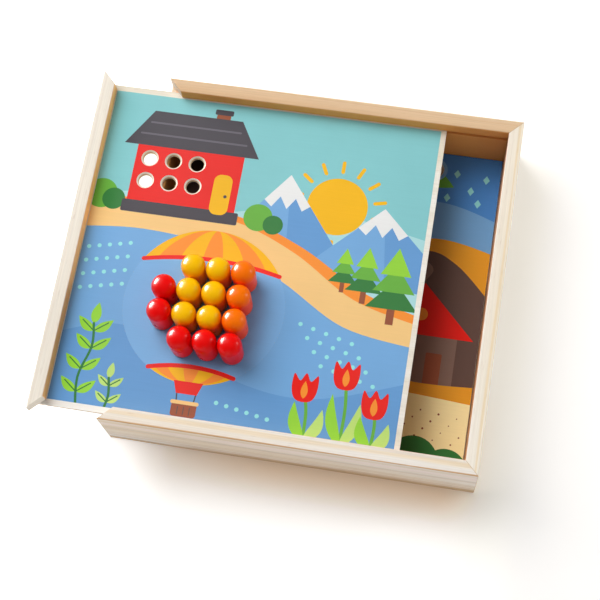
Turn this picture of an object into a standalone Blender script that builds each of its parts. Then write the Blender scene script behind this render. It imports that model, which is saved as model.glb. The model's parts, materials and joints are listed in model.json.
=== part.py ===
"""Peg art board: a pine box with a sliding picture-board lid that takes turned ball pegs.

Metres, +Z up. The origin is the middle of the box's underside. +X runs along the front rail
towards the fixed end, +Y to the back. The lid is drawn out towards -X, as it is in use.
"""

import math

import bmesh
import bpy
from mathutils import Matrix, Vector

# Box frame
BOX_LENGTH = 0.250
BOX_WIDTH = 0.250
BOX_HEIGHT = 0.053
RAIL_THICKNESS = 0.0095
RAIL_EDGE_ROUND = 0.0008
LIP_HEIGHT = 0.0092

# Panels
BASE_THICKNESS = 0.0040
BASE_REBATE = 0.0045
LID_THICKNESS = 0.0030
SIDE_TONGUE = 0.0033
END_TONGUE = 0.0050
STORED_THICKNESS = 0.0030
STORED_PLAY = 0.0006

# Lid position, as far as it is drawn out
LID_DRAWN = 0.0475

# Pegs, from the stem outwards
STEM_DIAMETER = 0.0088
HOLE_CHAMFER = 0.00135
SEAT_WIDTH = 0.00175
BALL_OVERHANG = 0.0005
BALL_CENTRE_HEIGHT = 0.0197
FOOT_ROUND = 0.0012
STEM_CHAMFER = 0.0006

# Peg field, back row first, one letter a peg and a blank for a bare place
PEG_ROWS = (" YYO", "RYYO", "RYYO", " RRR")
FIELD_FROM_END_RAIL = 0.0918
FIELD_FROM_FRONT = 0.0747

# Open holes of the lid
OPEN_ROWS = 2
OPEN_COLUMNS = 3
OPEN_FROM_END_RAIL = 0.0509
OPEN_FROM_BACK = 0.0578

# Holes of the stored board, a bunch that narrows row by row from the back
BUNCH_ROWS = (4, 3, 2, 1)
BUNCH_FROM_BACK = 0.0133
BUNCH_FROM_RIGHT = 0.0718

# Clearances
JOINT_GAP = 0.0003
SEAT_GAP = 0.0003
SLIDE_GAP = 0.0003
TONGUE_PLAY = 0.0005
STEM_CLEARANCE = 0.0003
STEM_RECESS = 0.0002
BALL_GAP = 0.0003
CUT_OVERRUN = 0.0010

# Smoothness
ROUND_SEGMENTS = 3
BALL_RINGS = 9
FOOT_RINGS = 2
PEG_SIDES = 20
HOLE_SIDES = 20
SHARP_ANGLE = math.radians(35)
WELD_DISTANCE = 0.000001
TURN_MERGE = 0.00001

# Heights
GROOVE_TOP = BOX_HEIGHT - LIP_HEIGHT
LID_TOP = GROOVE_TOP - SLIDE_GAP
LID_UNDERSIDE = LID_TOP - LID_THICKNESS
GROOVE_FLOOR = LID_UNDERSIDE - SLIDE_GAP
REBATE_TOP = BASE_THICKNESS + SEAT_GAP
STORED_TOP = BASE_THICKNESS + SEAT_GAP + STORED_THICKNESS

# Inner faces of the frame
INNER_X = BOX_LENGTH / 2 - RAIL_THICKNESS
INNER_Y = BOX_WIDTH / 2 - RAIL_THICKNESS

# Peg and hole diameters
HOLE_DIAMETER = STEM_DIAMETER + 2 * STEM_CLEARANCE
HOLE_MOUTH = HOLE_DIAMETER + 2 * HOLE_CHAMFER
BODY_DIAMETER = HOLE_MOUTH + 2 * SEAT_WIDTH
BALL_DIAMETER = BODY_DIAMETER + 2 * BALL_OVERHANG
PEG_PITCH = BALL_DIAMETER + BALL_GAP

PEG_COLOURS = {
    "R": ("red", (0.72, 0.010, 0.012, 1.0)),
    "Y": ("yellow", (0.88, 0.50, 0.010, 1.0)),
    "O": ("orange", (0.90, 0.20, 0.004, 1.0)),
}
PINE_COLOUR = (0.78, 0.62, 0.43, 1.0)
PLYWOOD_COLOUR = (0.70, 0.52, 0.33, 1.0)
WOOD_ROUGHNESS = 0.55
LACQUER_ROUGHNESS = 0.25


def clear_scene():
    """Remove every object that the scene starts with."""
    for item in list(bpy.data.objects):
        bpy.data.objects.remove(item, do_unlink=True)


def new_collection(name):
    """Make a collection of the scene."""
    collection = bpy.data.collections.new(name)
    bpy.context.scene.collection.children.link(collection)
    return collection


def new_material(name, colour, roughness):
    """Make a plain painted or bare finish."""
    material = bpy.data.materials.new(name)
    material.use_nodes = True
    shader = material.node_tree.nodes["Principled BSDF"]
    shader.inputs["Base Color"].default_value = colour
    shader.inputs["Roughness"].default_value = roughness
    shader.inputs["Metallic"].default_value = 0.0
    return material


def new_object(name, data, collection, material=None):
    """Put mesh or curve data into a collection as a named object."""
    item = bpy.data.objects.new(name, data)
    collection.objects.link(item)
    if material is not None:
        data.materials.append(material)
    return item


def evaluated_mesh(item):
    """Return an object's shape, modifiers included, as a new welded mesh."""
    depsgraph = bpy.context.evaluated_depsgraph_get()
    mesh = bpy.data.meshes.new_from_object(item.evaluated_get(depsgraph))
    weld = bmesh.new()
    weld.from_mesh(mesh)
    bmesh.ops.remove_doubles(weld, verts=weld.verts, dist=WELD_DISTANCE)
    bmesh.ops.recalc_face_normals(weld, faces=weld.faces)
    weld.to_mesh(mesh)
    weld.free()
    return mesh


def outline_points(corners):
    """Turn (x, y, rounding) corners of a square-cornered outline into points, with arcs where rounded."""
    points = []
    count = len(corners)
    for index, (x, y, radius) in enumerate(corners):
        corner = Vector((x, y))
        if radius == 0.0:
            points.append(corner)
            continue
        to_before = (Vector(corners[index - 1][:2]) - corner).normalized()
        to_after = (Vector(corners[(index + 1) % count][:2]) - corner).normalized()
        centre = corner + radius * (to_before + to_after)
        for step in range(ROUND_SEGMENTS + 1):
            angle = math.pi / 2 * step / ROUND_SEGMENTS
            points.append(centre - radius * (math.cos(angle) * to_after + math.sin(angle) * to_before))
    return points


def extruded_mesh(name, points, length, collection):
    """Extrude an outline by a length, half to each side, and return the mesh."""
    curve = bpy.data.curves.new(name, "CURVE")
    curve.dimensions = "2D"
    curve.fill_mode = "BOTH"
    curve.extrude = length / 2
    spline = curve.splines.new("POLY")
    spline.points.add(len(points) - 1)
    for point, (x, y) in zip(spline.points, points):
        point.co = (x, y, 0.0, 1.0)
    spline.use_cyclic_u = True
    draft = new_object(name + "_outline", curve, collection)
    mesh = evaluated_mesh(draft)
    bpy.data.objects.remove(draft, do_unlink=True)
    return mesh


def turned_mesh(name, profile, sides, collection):
    """Turn a profile of (radius, height) points, listed top to bottom, round the Z axis."""
    mesh = bpy.data.meshes.new(name)
    vertices = [(radius, 0.0, height) for radius, height in profile]
    edges = [(index, index + 1) for index in range(len(profile) - 1)]
    mesh.from_pydata(vertices, edges, [])
    draft = new_object(name + "_profile", mesh, collection)
    screw = draft.modifiers.new("Turn", "SCREW")
    screw.axis = "Z"
    screw.angle = 2 * math.pi
    screw.steps = sides
    screw.render_steps = sides
    screw.use_merge_vertices = True
    screw.merge_threshold = TURN_MERGE
    turned = evaluated_mesh(draft)
    bpy.data.objects.remove(draft, do_unlink=True)
    return turned


def rail_section(foot, top, rebated, groove_depth):
    """Corners of a rail's section as (inward, up, rounding), anticlockwise from the outer foot."""
    corners = [(0.0, foot, RAIL_EDGE_ROUND)]
    if rebated:
        corners += [
            (RAIL_THICKNESS - BASE_REBATE, foot, 0.0),
            (RAIL_THICKNESS - BASE_REBATE, REBATE_TOP, 0.0),
            (RAIL_THICKNESS, REBATE_TOP, 0.0),
        ]
    else:
        corners.append((RAIL_THICKNESS, foot, 0.0))
    if groove_depth > 0.0:
        corners += [
            (RAIL_THICKNESS, GROOVE_FLOOR, 0.0),
            (RAIL_THICKNESS - groove_depth, GROOVE_FLOOR, 0.0),
            (RAIL_THICKNESS - groove_depth, GROOVE_TOP, 0.0),
            (RAIL_THICKNESS, GROOVE_TOP, 0.0),
        ]
    corners += [(RAIL_THICKNESS, top, RAIL_EDGE_ROUND), (0.0, top, RAIL_EDGE_ROUND)]
    return corners


def mitred_rail(name, length, section, collection, material):
    """Make a rail with 45 degree ends: +X along it, +Y inwards from its outer face, +Z up."""
    mesh = extruded_mesh(name, outline_points(section), length, collection)
    mesh.transform(Matrix(((0, 0, 1, 0), (1, 0, 0, 0), (0, 1, 0, 0), (0, 0, 0, 1))))
    back_off = JOINT_GAP / math.sqrt(2)
    for vertex in mesh.vertices:
        vertex.co.x = math.copysign(length / 2 - vertex.co.y - back_off, vertex.co.x)
    mesh.name = name
    return new_object(name, mesh, collection, material)


def board(name, size_x, size_y, thickness, collection, material):
    """Make a flat rectangular board about its own middle."""
    mesh = bpy.data.meshes.new(name)
    form = bmesh.new()
    bmesh.ops.create_cube(form, size=1.0)
    bmesh.ops.scale(form, verts=form.verts, vec=(size_x, size_y, thickness))
    form.to_mesh(mesh)
    form.free()
    return new_object(name, mesh, collection, material)


def cut_peg_holes(panel, thickness, centres, cutters):
    """Cut chamfered peg holes through a board, at places given in the board's own frame."""
    top = thickness / 2
    radius = HOLE_DIAMETER / 2
    profile = [
        (0.0, top + CUT_OVERRUN),
        (radius + HOLE_CHAMFER + CUT_OVERRUN, top + CUT_OVERRUN),
        (radius, top - HOLE_CHAMFER),
        (radius, -top - CUT_OVERRUN),
        (0.0, -top - CUT_OVERRUN),
    ]
    single = turned_mesh(panel.name + "_drill", profile, HOLE_SIDES, cutters)
    form = bmesh.new()
    for x, y in centres:
        start = len(form.verts)
        form.from_mesh(single)
        form.verts.ensure_lookup_table()
        bmesh.ops.translate(form, verts=form.verts[start:], vec=(x, y, 0.0))
    drills = bpy.data.meshes.new(panel.name + "_drills")
    form.to_mesh(drills)
    form.free()
    cutter = new_object(panel.name + "_drills", drills, cutters)
    cutter.parent = panel
    cutter.hide_render = True
    cutter.display_type = "WIRE"
    drill = panel.modifiers.new("Peg holes", "BOOLEAN")
    drill.operation = "DIFFERENCE"
    drill.solver = "EXACT"
    drill.object = cutter


def peg_profile():
    """Profile of a peg about its seat: ball, side that tapers to a rounded foot, and stem."""
    ball = BALL_DIAMETER / 2
    body = BODY_DIAMETER / 2
    stem = STEM_DIAMETER / 2
    centre = BALL_CENTRE_HEIGHT
    # The side is the tangent from the foot's round to the ball, and meets the ball at this angle
    drop = centre - FOOT_ROUND
    meet = math.acos(ball / math.hypot(body, drop)) - math.atan2(drop, body)
    points = []
    for ring in range(BALL_RINGS + 1):
        angle = math.pi / 2 + (meet - math.pi / 2) * ring / BALL_RINGS
        points.append((ball * math.cos(angle) if ring else 0.0, centre + ball * math.sin(angle)))
    for ring in range(FOOT_RINGS + 1):
        angle = math.pi / 2 * ring / FOOT_RINGS
        points.append((body - FOOT_ROUND * (1 - math.cos(angle)), FOOT_ROUND * (1 - math.sin(angle))))
    tip = -SEAT_GAP - LID_THICKNESS + STEM_RECESS
    points += [
        (stem, 0.0),
        (stem, tip + STEM_CHAMFER),
        (stem - STEM_CHAMFER, tip),
        (0.0, tip),
    ]
    return points


def field_places():
    """Places of the pegs on the lid as (letter, x, y), in the closed lid's frame."""
    middle_x = -INNER_X + FIELD_FROM_END_RAIL
    middle_y = -INNER_Y + FIELD_FROM_FRONT
    places = []
    for row, letters in enumerate(PEG_ROWS):
        y = middle_y + ((len(PEG_ROWS) - 1) / 2 - row) * PEG_PITCH
        for column, letter in enumerate(letters):
            x = middle_x + (column - (len(letters) - 1) / 2) * PEG_PITCH
            if letter != " ":
                places.append((letter, x, y))
    return places


def open_places():
    """Places of the lid's open holes, in the closed lid's frame."""
    middle_x = -INNER_X + OPEN_FROM_END_RAIL
    middle_y = INNER_Y - OPEN_FROM_BACK
    return [
        (
            middle_x + (column - (OPEN_COLUMNS - 1) / 2) * PEG_PITCH,
            middle_y + ((OPEN_ROWS - 1) / 2 - row) * PEG_PITCH,
        )
        for row in range(OPEN_ROWS)
        for column in range(OPEN_COLUMNS)
    ]


def bunch_places(half_x, half_y):
    """Places of the stored board's holes, packed like fruit on a bunch, about the board's middle."""
    middle_x = half_x - BUNCH_FROM_RIGHT
    row_step = PEG_PITCH * math.sqrt(3) / 2
    places = []
    for row, count in enumerate(BUNCH_ROWS):
        y = half_y - BUNCH_FROM_BACK - row * row_step
        for index in range(count):
            places.append((middle_x + (index - (count - 1) / 2) * PEG_PITCH, y))
    return places


def build_box(parts, pine, plywood):
    """Build the mitred frame, the low rail that the lid passes over, and the base."""
    side_section = rail_section(0.0, BOX_HEIGHT, True, SIDE_TONGUE + TONGUE_PLAY)
    end_section = rail_section(0.0, BOX_HEIGHT, True, END_TONGUE + TONGUE_PLAY)
    low_section = rail_section(0.0, GROOVE_FLOOR, True, 0.0)
    front = mitred_rail("front_rail", BOX_LENGTH, side_section, parts, pine)
    front.location = (0.0, -BOX_WIDTH / 2, 0.0)
    back = mitred_rail("back_rail", BOX_LENGTH, side_section, parts, pine)
    back.location = (0.0, BOX_WIDTH / 2, 0.0)
    back.rotation_euler = (0.0, 0.0, math.pi)
    right = mitred_rail("right_rail", BOX_WIDTH, end_section, parts, pine)
    right.location = (BOX_LENGTH / 2, 0.0, 0.0)
    right.rotation_euler = (0.0, 0.0, math.pi / 2)
    low = mitred_rail("low_left_rail", BOX_WIDTH, low_section, parts, pine)
    low.location = (-BOX_LENGTH / 2, 0.0, 0.0)
    low.rotation_euler = (0.0, 0.0, -math.pi / 2)
    trim = 2 * (RAIL_THICKNESS - BASE_REBATE + JOINT_GAP)
    base = board("base_panel", BOX_LENGTH - trim, BOX_WIDTH - trim, BASE_THICKNESS, parts, plywood)
    base.location = (0.0, 0.0, BASE_THICKNESS / 2)


def build_stored_board(parts, cutters, plywood):
    """Build the second picture board, which lies loose on the base."""
    half_x = INNER_X - STORED_PLAY
    half_y = INNER_Y - STORED_PLAY
    stored = board("stored_board", 2 * half_x, 2 * half_y, STORED_THICKNESS, parts, plywood)
    stored.location = (0.0, 0.0, STORED_TOP - STORED_THICKNESS / 2)
    cut_peg_holes(stored, STORED_THICKNESS, bunch_places(half_x, half_y), cutters)


def build_lid(parts, cutters, pine, plywood):
    """Build the sliding lid in its closed place under an empty, and draw it out; return the empty."""
    slide = bpy.data.objects.new("lid_slide", None)
    parts.objects.link(slide)
    slide.location = (-LID_DRAWN, 0.0, LID_TOP)
    left = -BOX_LENGTH / 2
    right = INNER_X + END_TONGUE
    middle_x = (left + right) / 2
    width = 2 * (INNER_Y + SIDE_TONGUE)
    lid = board("lid_board", right - left, width, LID_THICKNESS, parts, plywood)
    lid.parent = slide
    lid.location = (middle_x, 0.0, -LID_THICKNESS / 2)
    holes = [(x, y) for _, x, y in field_places()] + open_places()
    cut_peg_holes(lid, LID_THICKNESS, [(x - middle_x, y) for x, y in holes], cutters)
    strip = rail_section(SEAT_GAP, BOX_HEIGHT - LID_TOP, False, 0.0)
    end_rail = mitred_rail("lid_end_rail", BOX_WIDTH, strip, parts, pine)
    end_rail.parent = slide
    end_rail.location = (left, 0.0, 0.0)
    end_rail.rotation_euler = (0.0, 0.0, -math.pi / 2)
    return slide


def build_pegs(parts, slide):
    """Stand a turned peg in each place of the field, with its origin at its seat."""
    materials = {
        letter: new_material(colour + "_lacquer", value, LACQUER_ROUGHNESS)
        for letter, (colour, value) in PEG_COLOURS.items()
    }
    numbers = dict.fromkeys(PEG_COLOURS, 0)
    profile = peg_profile()
    for letter, x, y in field_places():
        numbers[letter] += 1
        name = f"{PEG_COLOURS[letter][0]}_peg_{numbers[letter]}"
        mesh = turned_mesh(name, profile, PEG_SIDES, parts)
        mesh.shade_smooth()
        mesh.set_sharp_from_angle(angle=SHARP_ANGLE)
        peg = new_object(name, mesh, parts, materials[letter])
        peg.parent = slide
        peg.location = (x, y, SEAT_GAP)


def main():
    """Build the whole object."""
    clear_scene()
    parts = new_collection("peg_art_board")
    cutters = new_collection("cutters")
    pine = new_material("pine", PINE_COLOUR, WOOD_ROUGHNESS)
    plywood = new_material("plywood", PLYWOOD_COLOUR, WOOD_ROUGHNESS)
    build_box(parts, pine, plywood)
    build_stored_board(parts, cutters, plywood)
    slide = build_lid(parts, cutters, pine, plywood)
    build_pegs(parts, slide)


main()
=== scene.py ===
"""Looks of the peg art board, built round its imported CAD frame.

Lengths are metres in the CAD frame: X runs along the front rail, Y to the back, Z up.
The two pictures are drawn in millimetres from the front left corner of their print.
"""

import json
import logging
import math
from collections.abc import Callable, Iterable, Sequence
from dataclasses import dataclass, field
from enum import Enum

import bmesh
import bpy
from bpy.types import ID, Material, Mesh, Node, NodeOutputs, NodeSocket, NodeTree, Object, World
from mathutils import Matrix, Vector
from mathutils.geometry import delaunay_2d_cdt


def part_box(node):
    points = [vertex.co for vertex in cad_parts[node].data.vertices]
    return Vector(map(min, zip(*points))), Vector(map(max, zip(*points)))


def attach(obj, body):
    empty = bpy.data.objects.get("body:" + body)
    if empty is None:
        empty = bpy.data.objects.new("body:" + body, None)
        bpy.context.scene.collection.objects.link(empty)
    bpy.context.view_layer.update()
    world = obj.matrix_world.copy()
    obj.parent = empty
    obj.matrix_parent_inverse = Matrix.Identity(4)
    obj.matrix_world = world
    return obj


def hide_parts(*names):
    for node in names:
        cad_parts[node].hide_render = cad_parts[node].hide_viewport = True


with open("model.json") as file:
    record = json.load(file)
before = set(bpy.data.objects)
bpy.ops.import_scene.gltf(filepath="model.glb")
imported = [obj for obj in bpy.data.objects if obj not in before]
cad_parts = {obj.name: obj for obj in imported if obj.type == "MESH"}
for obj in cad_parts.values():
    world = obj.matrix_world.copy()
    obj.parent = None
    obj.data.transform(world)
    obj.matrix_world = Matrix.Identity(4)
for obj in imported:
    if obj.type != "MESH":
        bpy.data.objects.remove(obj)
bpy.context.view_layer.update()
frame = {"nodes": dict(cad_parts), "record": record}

LOG = logging.getLogger("peg_art_board")
MM = 0.001
# Faces that meet at more than this keep a sharp edge
SHARP_ANGLE = math.radians(28)
# Points of a shape from a node tool that are closer than this become one
WELD = 0.000004
# Name of the colours that a print carries
INK_LAYER = "ink"

FLOAT, INTEGER, VECTOR = "NodeSocketFloat", "NodeSocketInt", "NodeSocketVector"
GEOMETRY, MATERIAL = "NodeSocketGeometry", "NodeSocketMaterial"

Point = tuple[float, float]
Spot = tuple[float, float, float]
Outline = list[Point]
Screen = tuple[int, int, int]
Colour = tuple[float, float, float, float]
Feed = object
Feeds = dict[str | int, Feed]


def linear(screen: Screen) -> Colour:
    """Turns a screen colour into the linear colour that Blender's sockets take.

    Args:
        screen: Red, green and blue as seen on a screen, from 0 to 255.

    Returns:
        The linear colour, opaque.
    """
    shares = [value / 255 for value in screen]
    parts = [s / 12.92 if s <= 0.04045 else ((s + 0.055) / 1.055) ** 2.4 for s in shares]
    return (parts[0], parts[1], parts[2], 1.0)


class Ink(Enum):
    """Printing inks, as screen colours."""

    TURQUOISE = (134, 200, 203)
    HAZE = (172, 218, 220)
    BLUE = (118, 170, 218)
    DEEP_BLUE = (103, 156, 209)
    PALE_BLUE = (124, 176, 223)
    NAVY = (78, 139, 208)
    AQUA = (150, 226, 226)
    SAND = (243, 200, 132)
    STRAW = (253, 238, 178)
    OCHRE = (232, 160, 46)
    CREAM = (250, 232, 190)
    ORANGE = (247, 146, 52)
    GOLD = (244, 184, 20)
    RED = (232, 36, 28)
    CHARCOAL = (74, 70, 76)
    SLATE = (104, 100, 108)
    UMBER = (102, 80, 72)
    CLAY = (132, 106, 94)
    BROWN = (150, 84, 58)
    LEAF = (106, 176, 66)
    LIME = (150, 212, 62)
    PALE_LIME = (190, 224, 120)
    FIR = (56, 124, 62)
    WHITE = (234, 234, 232)


class Grain(Enum):
    """Which way the fibres of a piece of wood run, as the turn that brings them onto X."""

    ALONG_X = 0.0
    ALONG_Y = -math.pi / 2


class PegColour(Enum):
    """Colours of the pegs, as the record's slot and the screen colour of the lacquer."""

    RED = ("red_lacquer", (240, 4, 3))
    YELLOW = ("yellow_lacquer", (255, 190, 0))
    ORANGE = ("orange_lacquer", (255, 108, 0))


class Graph:
    """Writes a node tree, one node at a time."""

    def __init__(self, tree: NodeTree) -> None:
        """Keeps the tree to write in."""
        self.tree = tree

    @classmethod
    def blank(cls, owner: Material | World) -> "Graph":
        """Empties the nodes of a material or a world.

        Args:
            owner: The material or the world.

        Returns:
            The graph to write its nodes in.
        """
        owner.use_nodes = True
        owner.node_tree.nodes.clear()
        return cls(owner.node_tree)

    def feed(self, socket: NodeSocket, value: Feed) -> None:
        """Links another node's output to a socket, or sets the socket's own value.

        Args:
            socket: The socket that is fed.
            value: Another node's output, or a plain value.
        """
        if isinstance(value, NodeSocket):
            self.tree.links.new(value, socket)
        else:
            socket.default_value = value

    def add(self, kind: str, feeds: Feeds | None = None, **settings: object) -> Node:
        """Adds a node.

        Args:
            kind: Blender's name for the type of node.
            feeds: Another node's output or a plain value for each input, by name or number.
            **settings: Properties of the node itself.

        Returns:
            The new node.
        """
        node = self.tree.nodes.new(kind)
        for name, value in settings.items():
            setattr(node, name, value)
        for key, value in (feeds or {}).items():
            self.feed(node.inputs[key], value)
        return node

    def out(self, kind: str, feeds: Feeds | None = None, **settings: object) -> NodeSocket:
        """Adds a node as above and gives its first output."""
        return self.add(kind, feeds, **settings).outputs[0]

    def math(self, operation: str, *values: Feed) -> NodeSocket:
        """Adds a Math node and gives its result."""
        return self.out("ShaderNodeMath", dict(enumerate(values)), operation=operation)

    def vector(self, operation: str, *values: Feed) -> NodeSocket:
        """Adds a Vector Math node and gives its vector."""
        return self.out("ShaderNodeVectorMath", dict(enumerate(values)), operation=operation)

    def measure(self, operation: str, *values: Feed) -> NodeSocket:
        """Adds a Vector Math node and gives its plain value."""
        feeds = dict(enumerate(values))
        return self.add("ShaderNodeVectorMath", feeds, operation=operation).outputs["Value"]

    def scaled(self, vector: Feed, amount: Feed) -> NodeSocket:
        """Multiplies a vector by a value."""
        return self.out("ShaderNodeVectorMath", {0: vector, "Scale": amount}, operation="SCALE")

    def spot(self) -> NodeSocket:
        """Gives the place on the piece in the CAD frame."""
        return self.add("ShaderNodeTexCoord").outputs["Object"]

    def parts(self, vector: Feed) -> NodeOutputs:
        """Gives the X, Y and Z of a vector."""
        return self.add("ShaderNodeSeparateXYZ", {0: vector}).outputs

    def mix(self, share: Feed, first: Feed, second: Feed, blend: str = "MIX") -> NodeSocket:
        """Mixes two colours.

        Args:
            share: How much of the second colour is taken.
            first: The first colour.
            second: The second colour.
            blend: Blender's name for the way of mixing.

        Returns:
            The mixed colour.
        """
        node = self.add("ShaderNodeMix", data_type="RGBA", blend_type=blend)
        for index, value in zip((0, 6, 7), (share, first, second)):
            self.feed(node.inputs[index], value)
        return node.outputs[2]

    def over(self, mask: Feed, share: float, below: Feed, above: Screen) -> NodeSocket:
        """Lays a share of a screen colour over another colour where a mask is 1."""
        return self.mix(self.math("MULTIPLY", mask, share), below, linear(above))

    def shaded(self, colour: Feed, value: Feed, low: float, high: float) -> NodeSocket:
        """Multiplies a colour by a grey.

        Args:
            colour: The colour.
            value: What the grey goes by, from 0 to 1.
            low: The grey at 0.
            high: The grey at 1.

        Returns:
            The shaded colour.
        """
        shade = self.spread(value, low, high)
        grey = self.out("ShaderNodeCombineColor", {0: shade, 1: shade, 2: shade})
        return self.mix(1.0, colour, grey, "MULTIPLY")

    def spread(self, value: Feed, low: Feed, high: Feed) -> NodeSocket:
        """Spreads a value from 0 to 1 over a range from low to high."""
        return self.out("ShaderNodeMapRange", {"Value": value, "To Min": low, "To Max": high})

    def step(self, value: Feed, start: Feed, end: Feed) -> NodeSocket:
        """Rises smoothly from 0 to 1 as the value goes from start to end."""
        feeds = {"Value": value, "From Min": start, "From Max": end}
        return self.out("ShaderNodeMapRange", feeds, interpolation_type="SMOOTHSTEP")

    def noise(self, vector: Feed, scale: Feed, detail: float) -> NodeOutputs:
        """Adds a Noise texture and gives its outputs, the value first, around one half."""
        feeds = {"Vector": vector, "Scale": scale, "Detail": detail}
        return self.add("ShaderNodeTexNoise", feeds).outputs


class NodeGroup:
    """A node tree with named inputs, which is written once."""

    name = ""
    kind = ""
    inputs: tuple[tuple[str, str, object], ...] = ()
    outputs: tuple[tuple[str, str], ...] = ()

    def write(self, graph: Graph, feeds: NodeOutputs) -> Sequence[NodeSocket]:
        """Writes the nodes of the group, fed by its inputs, and gives a socket for each output."""
        raise NotImplementedError

    def tree(self) -> NodeTree:
        """Gives the group, and builds it the first time.

        Returns:
            The group's node tree.
        """
        known = bpy.data.node_groups.get(self.name)
        if known:
            return known
        tree = bpy.data.node_groups.new(self.name, self.kind)
        for name, kind, value in self.inputs:
            socket = tree.interface.new_socket(name, in_out="INPUT", socket_type=kind)
            if value is not None:
                socket.default_value = value
        for name, kind in self.outputs:
            tree.interface.new_socket(name, in_out="OUTPUT", socket_type=kind)
        graph = Graph(tree)
        made = self.write(graph, graph.add("NodeGroupInput").outputs)
        graph.add("NodeGroupOutput", dict(enumerate(made)))
        return tree


class SharedEffect(NodeGroup):
    """A shader node group that several finishes place, each with its own values."""

    kind = "ShaderNodeTree"

    def place(self, graph: Graph, **feeds: Feed) -> NodeOutputs:
        """Places the group in a material, with values or sockets for its inputs."""
        return graph.add("ShaderNodeGroup", feeds, node_tree=self.tree()).outputs


class GrowthRings(SharedEffect):
    """Year rings of a trunk that runs along X, seen wherever a piece is cut from it."""

    name = "growth_rings"
    inputs = (("Vector", VECTOR, None), ("Width", FLOAT, 0.003), ("Wander", FLOAT, 0.002))
    outputs = (("Late Wood", FLOAT), ("Board Tone", FLOAT))

    STRETCH = (0.07, 1.0, 1.0)
    MIDDLE = (0.5, 0.5, 0.5)
    BEND_SCALE = 16.0
    RIPPLE_SCALE = 95.0
    RIPPLE = (0.16, 0.16, 0.16)
    ACROSS = (0.0, 4.0, 4.0)
    UNEVEN_SCALE = 0.7
    UNEVEN_YEARS = 2.2
    LATE_RISE = (0.30, 0.92)
    LATE_FALL = (0.93, 1.0)
    STRENGTH = (0.25, 1.0)
    TONE_SCALE = 28.0

    def write(self, graph: Graph, feeds: NodeOutputs) -> Sequence[NodeSocket]:
        """Writes rings that wander along the trunk, of uneven width and strength.

        Args:
            graph: The group's own tree.
            feeds: Its inputs.

        Returns:
            The share of late wood and the tone of the board.
        """
        drawn = graph.vector("MULTIPLY", feeds["Vector"], self.STRETCH)
        bend = graph.noise(drawn, self.BEND_SCALE, 1.0)["Color"]
        ripple = graph.noise(drawn, self.RIPPLE_SCALE, 2.0)["Color"]
        ripple = graph.vector("SUBTRACT", ripple, self.MIDDLE)
        shift = graph.vector("SUBTRACT", bend, self.MIDDLE)
        shift = graph.vector("ADD", shift, graph.vector("MULTIPLY", ripple, self.RIPPLE))
        shift = graph.vector("MULTIPLY", graph.scaled(shift, feeds["Wander"]), self.ACROSS)
        _, y, z = graph.parts(graph.vector("ADD", feeds["Vector"], shift))
        square = graph.math("MULTIPLY_ADD", z, z, graph.math("MULTIPLY", y, y))
        count = graph.math("DIVIDE", graph.math("SQRT", square), feeds["Width"])
        chance = {"W": count, "Scale": self.UNEVEN_SCALE, "Detail": 1.0}
        uneven = graph.out("ShaderNodeTexNoise", chance, noise_dimensions="1D")
        count = graph.math("ADD", count, graph.math("MULTIPLY", uneven, self.UNEVEN_YEARS))
        share = graph.math("FRACT", count)
        kept = graph.math("SUBTRACT", 1.0, graph.step(share, *self.LATE_FALL))
        late = graph.math("MULTIPLY", graph.step(share, *self.LATE_RISE), kept)
        year = {"W": graph.math("FLOOR", count)}
        strength = graph.out("ShaderNodeTexWhiteNoise", year, noise_dimensions="1D")
        late = graph.math("MULTIPLY", late, graph.spread(strength, *self.STRENGTH))
        return late, graph.noise(drawn, self.TONE_SCALE, 1.0)[0]


class WoodFibre(SharedEffect):
    """Fine streaks of wood fibre along X, with sparse darker flecks."""

    name = "wood_fibre"
    inputs = (("Vector", VECTOR, None), ("Fineness", FLOAT, 1500.0))
    outputs = (("Streak", FLOAT), ("Fleck", FLOAT))

    LONG = (0.022, 1.0, 1.0)
    SHORT = (0.10, 1.0, 1.0)
    COARSER = 0.8
    FLECKS = (0.66, 0.78)

    def write(self, graph: Graph, feeds: NodeOutputs) -> Sequence[NodeSocket]:
        """Writes the streaks and the flecks.

        Args:
            graph: The group's own tree.
            feeds: Its inputs.

        Returns:
            The streaks and the flecks.
        """
        drawn = graph.vector("MULTIPLY", feeds["Vector"], self.LONG)
        streak = graph.noise(drawn, feeds["Fineness"], 3.0)[0]
        short = graph.vector("MULTIPLY", feeds["Vector"], self.SHORT)
        coarse = graph.math("MULTIPLY", feeds["Fineness"], self.COARSER)
        return streak, graph.step(graph.noise(short, coarse, 1.0)[0], *self.FLECKS)


class Mottle(SharedEffect):
    """Uneven tone of a coat, a print or a face of wood."""

    name = "mottle"
    inputs = (("Vector", VECTOR, None), ("Scale", FLOAT, 60.0))
    outputs = (("Cloud", FLOAT), ("Pebble", FLOAT))

    FINER = 9.0

    def write(self, graph: Graph, feeds: NodeOutputs) -> Sequence[NodeSocket]:
        """Writes wide clouds and a fine pebble of the same coat.

        Args:
            graph: The group's own tree.
            feeds: Its inputs.

        Returns:
            The clouds and the pebble.
        """
        fine = graph.math("MULTIPLY", feeds["Scale"], self.FINER)
        cloud = graph.noise(feeds["Vector"], feeds["Scale"], 3.0)[0]
        return cloud, graph.noise(feeds["Vector"], fine, 2.0)[0]


GROWTH_RINGS = GrowthRings()
WOOD_FIBRE = WoodFibre()
MOTTLE = Mottle()


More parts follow.
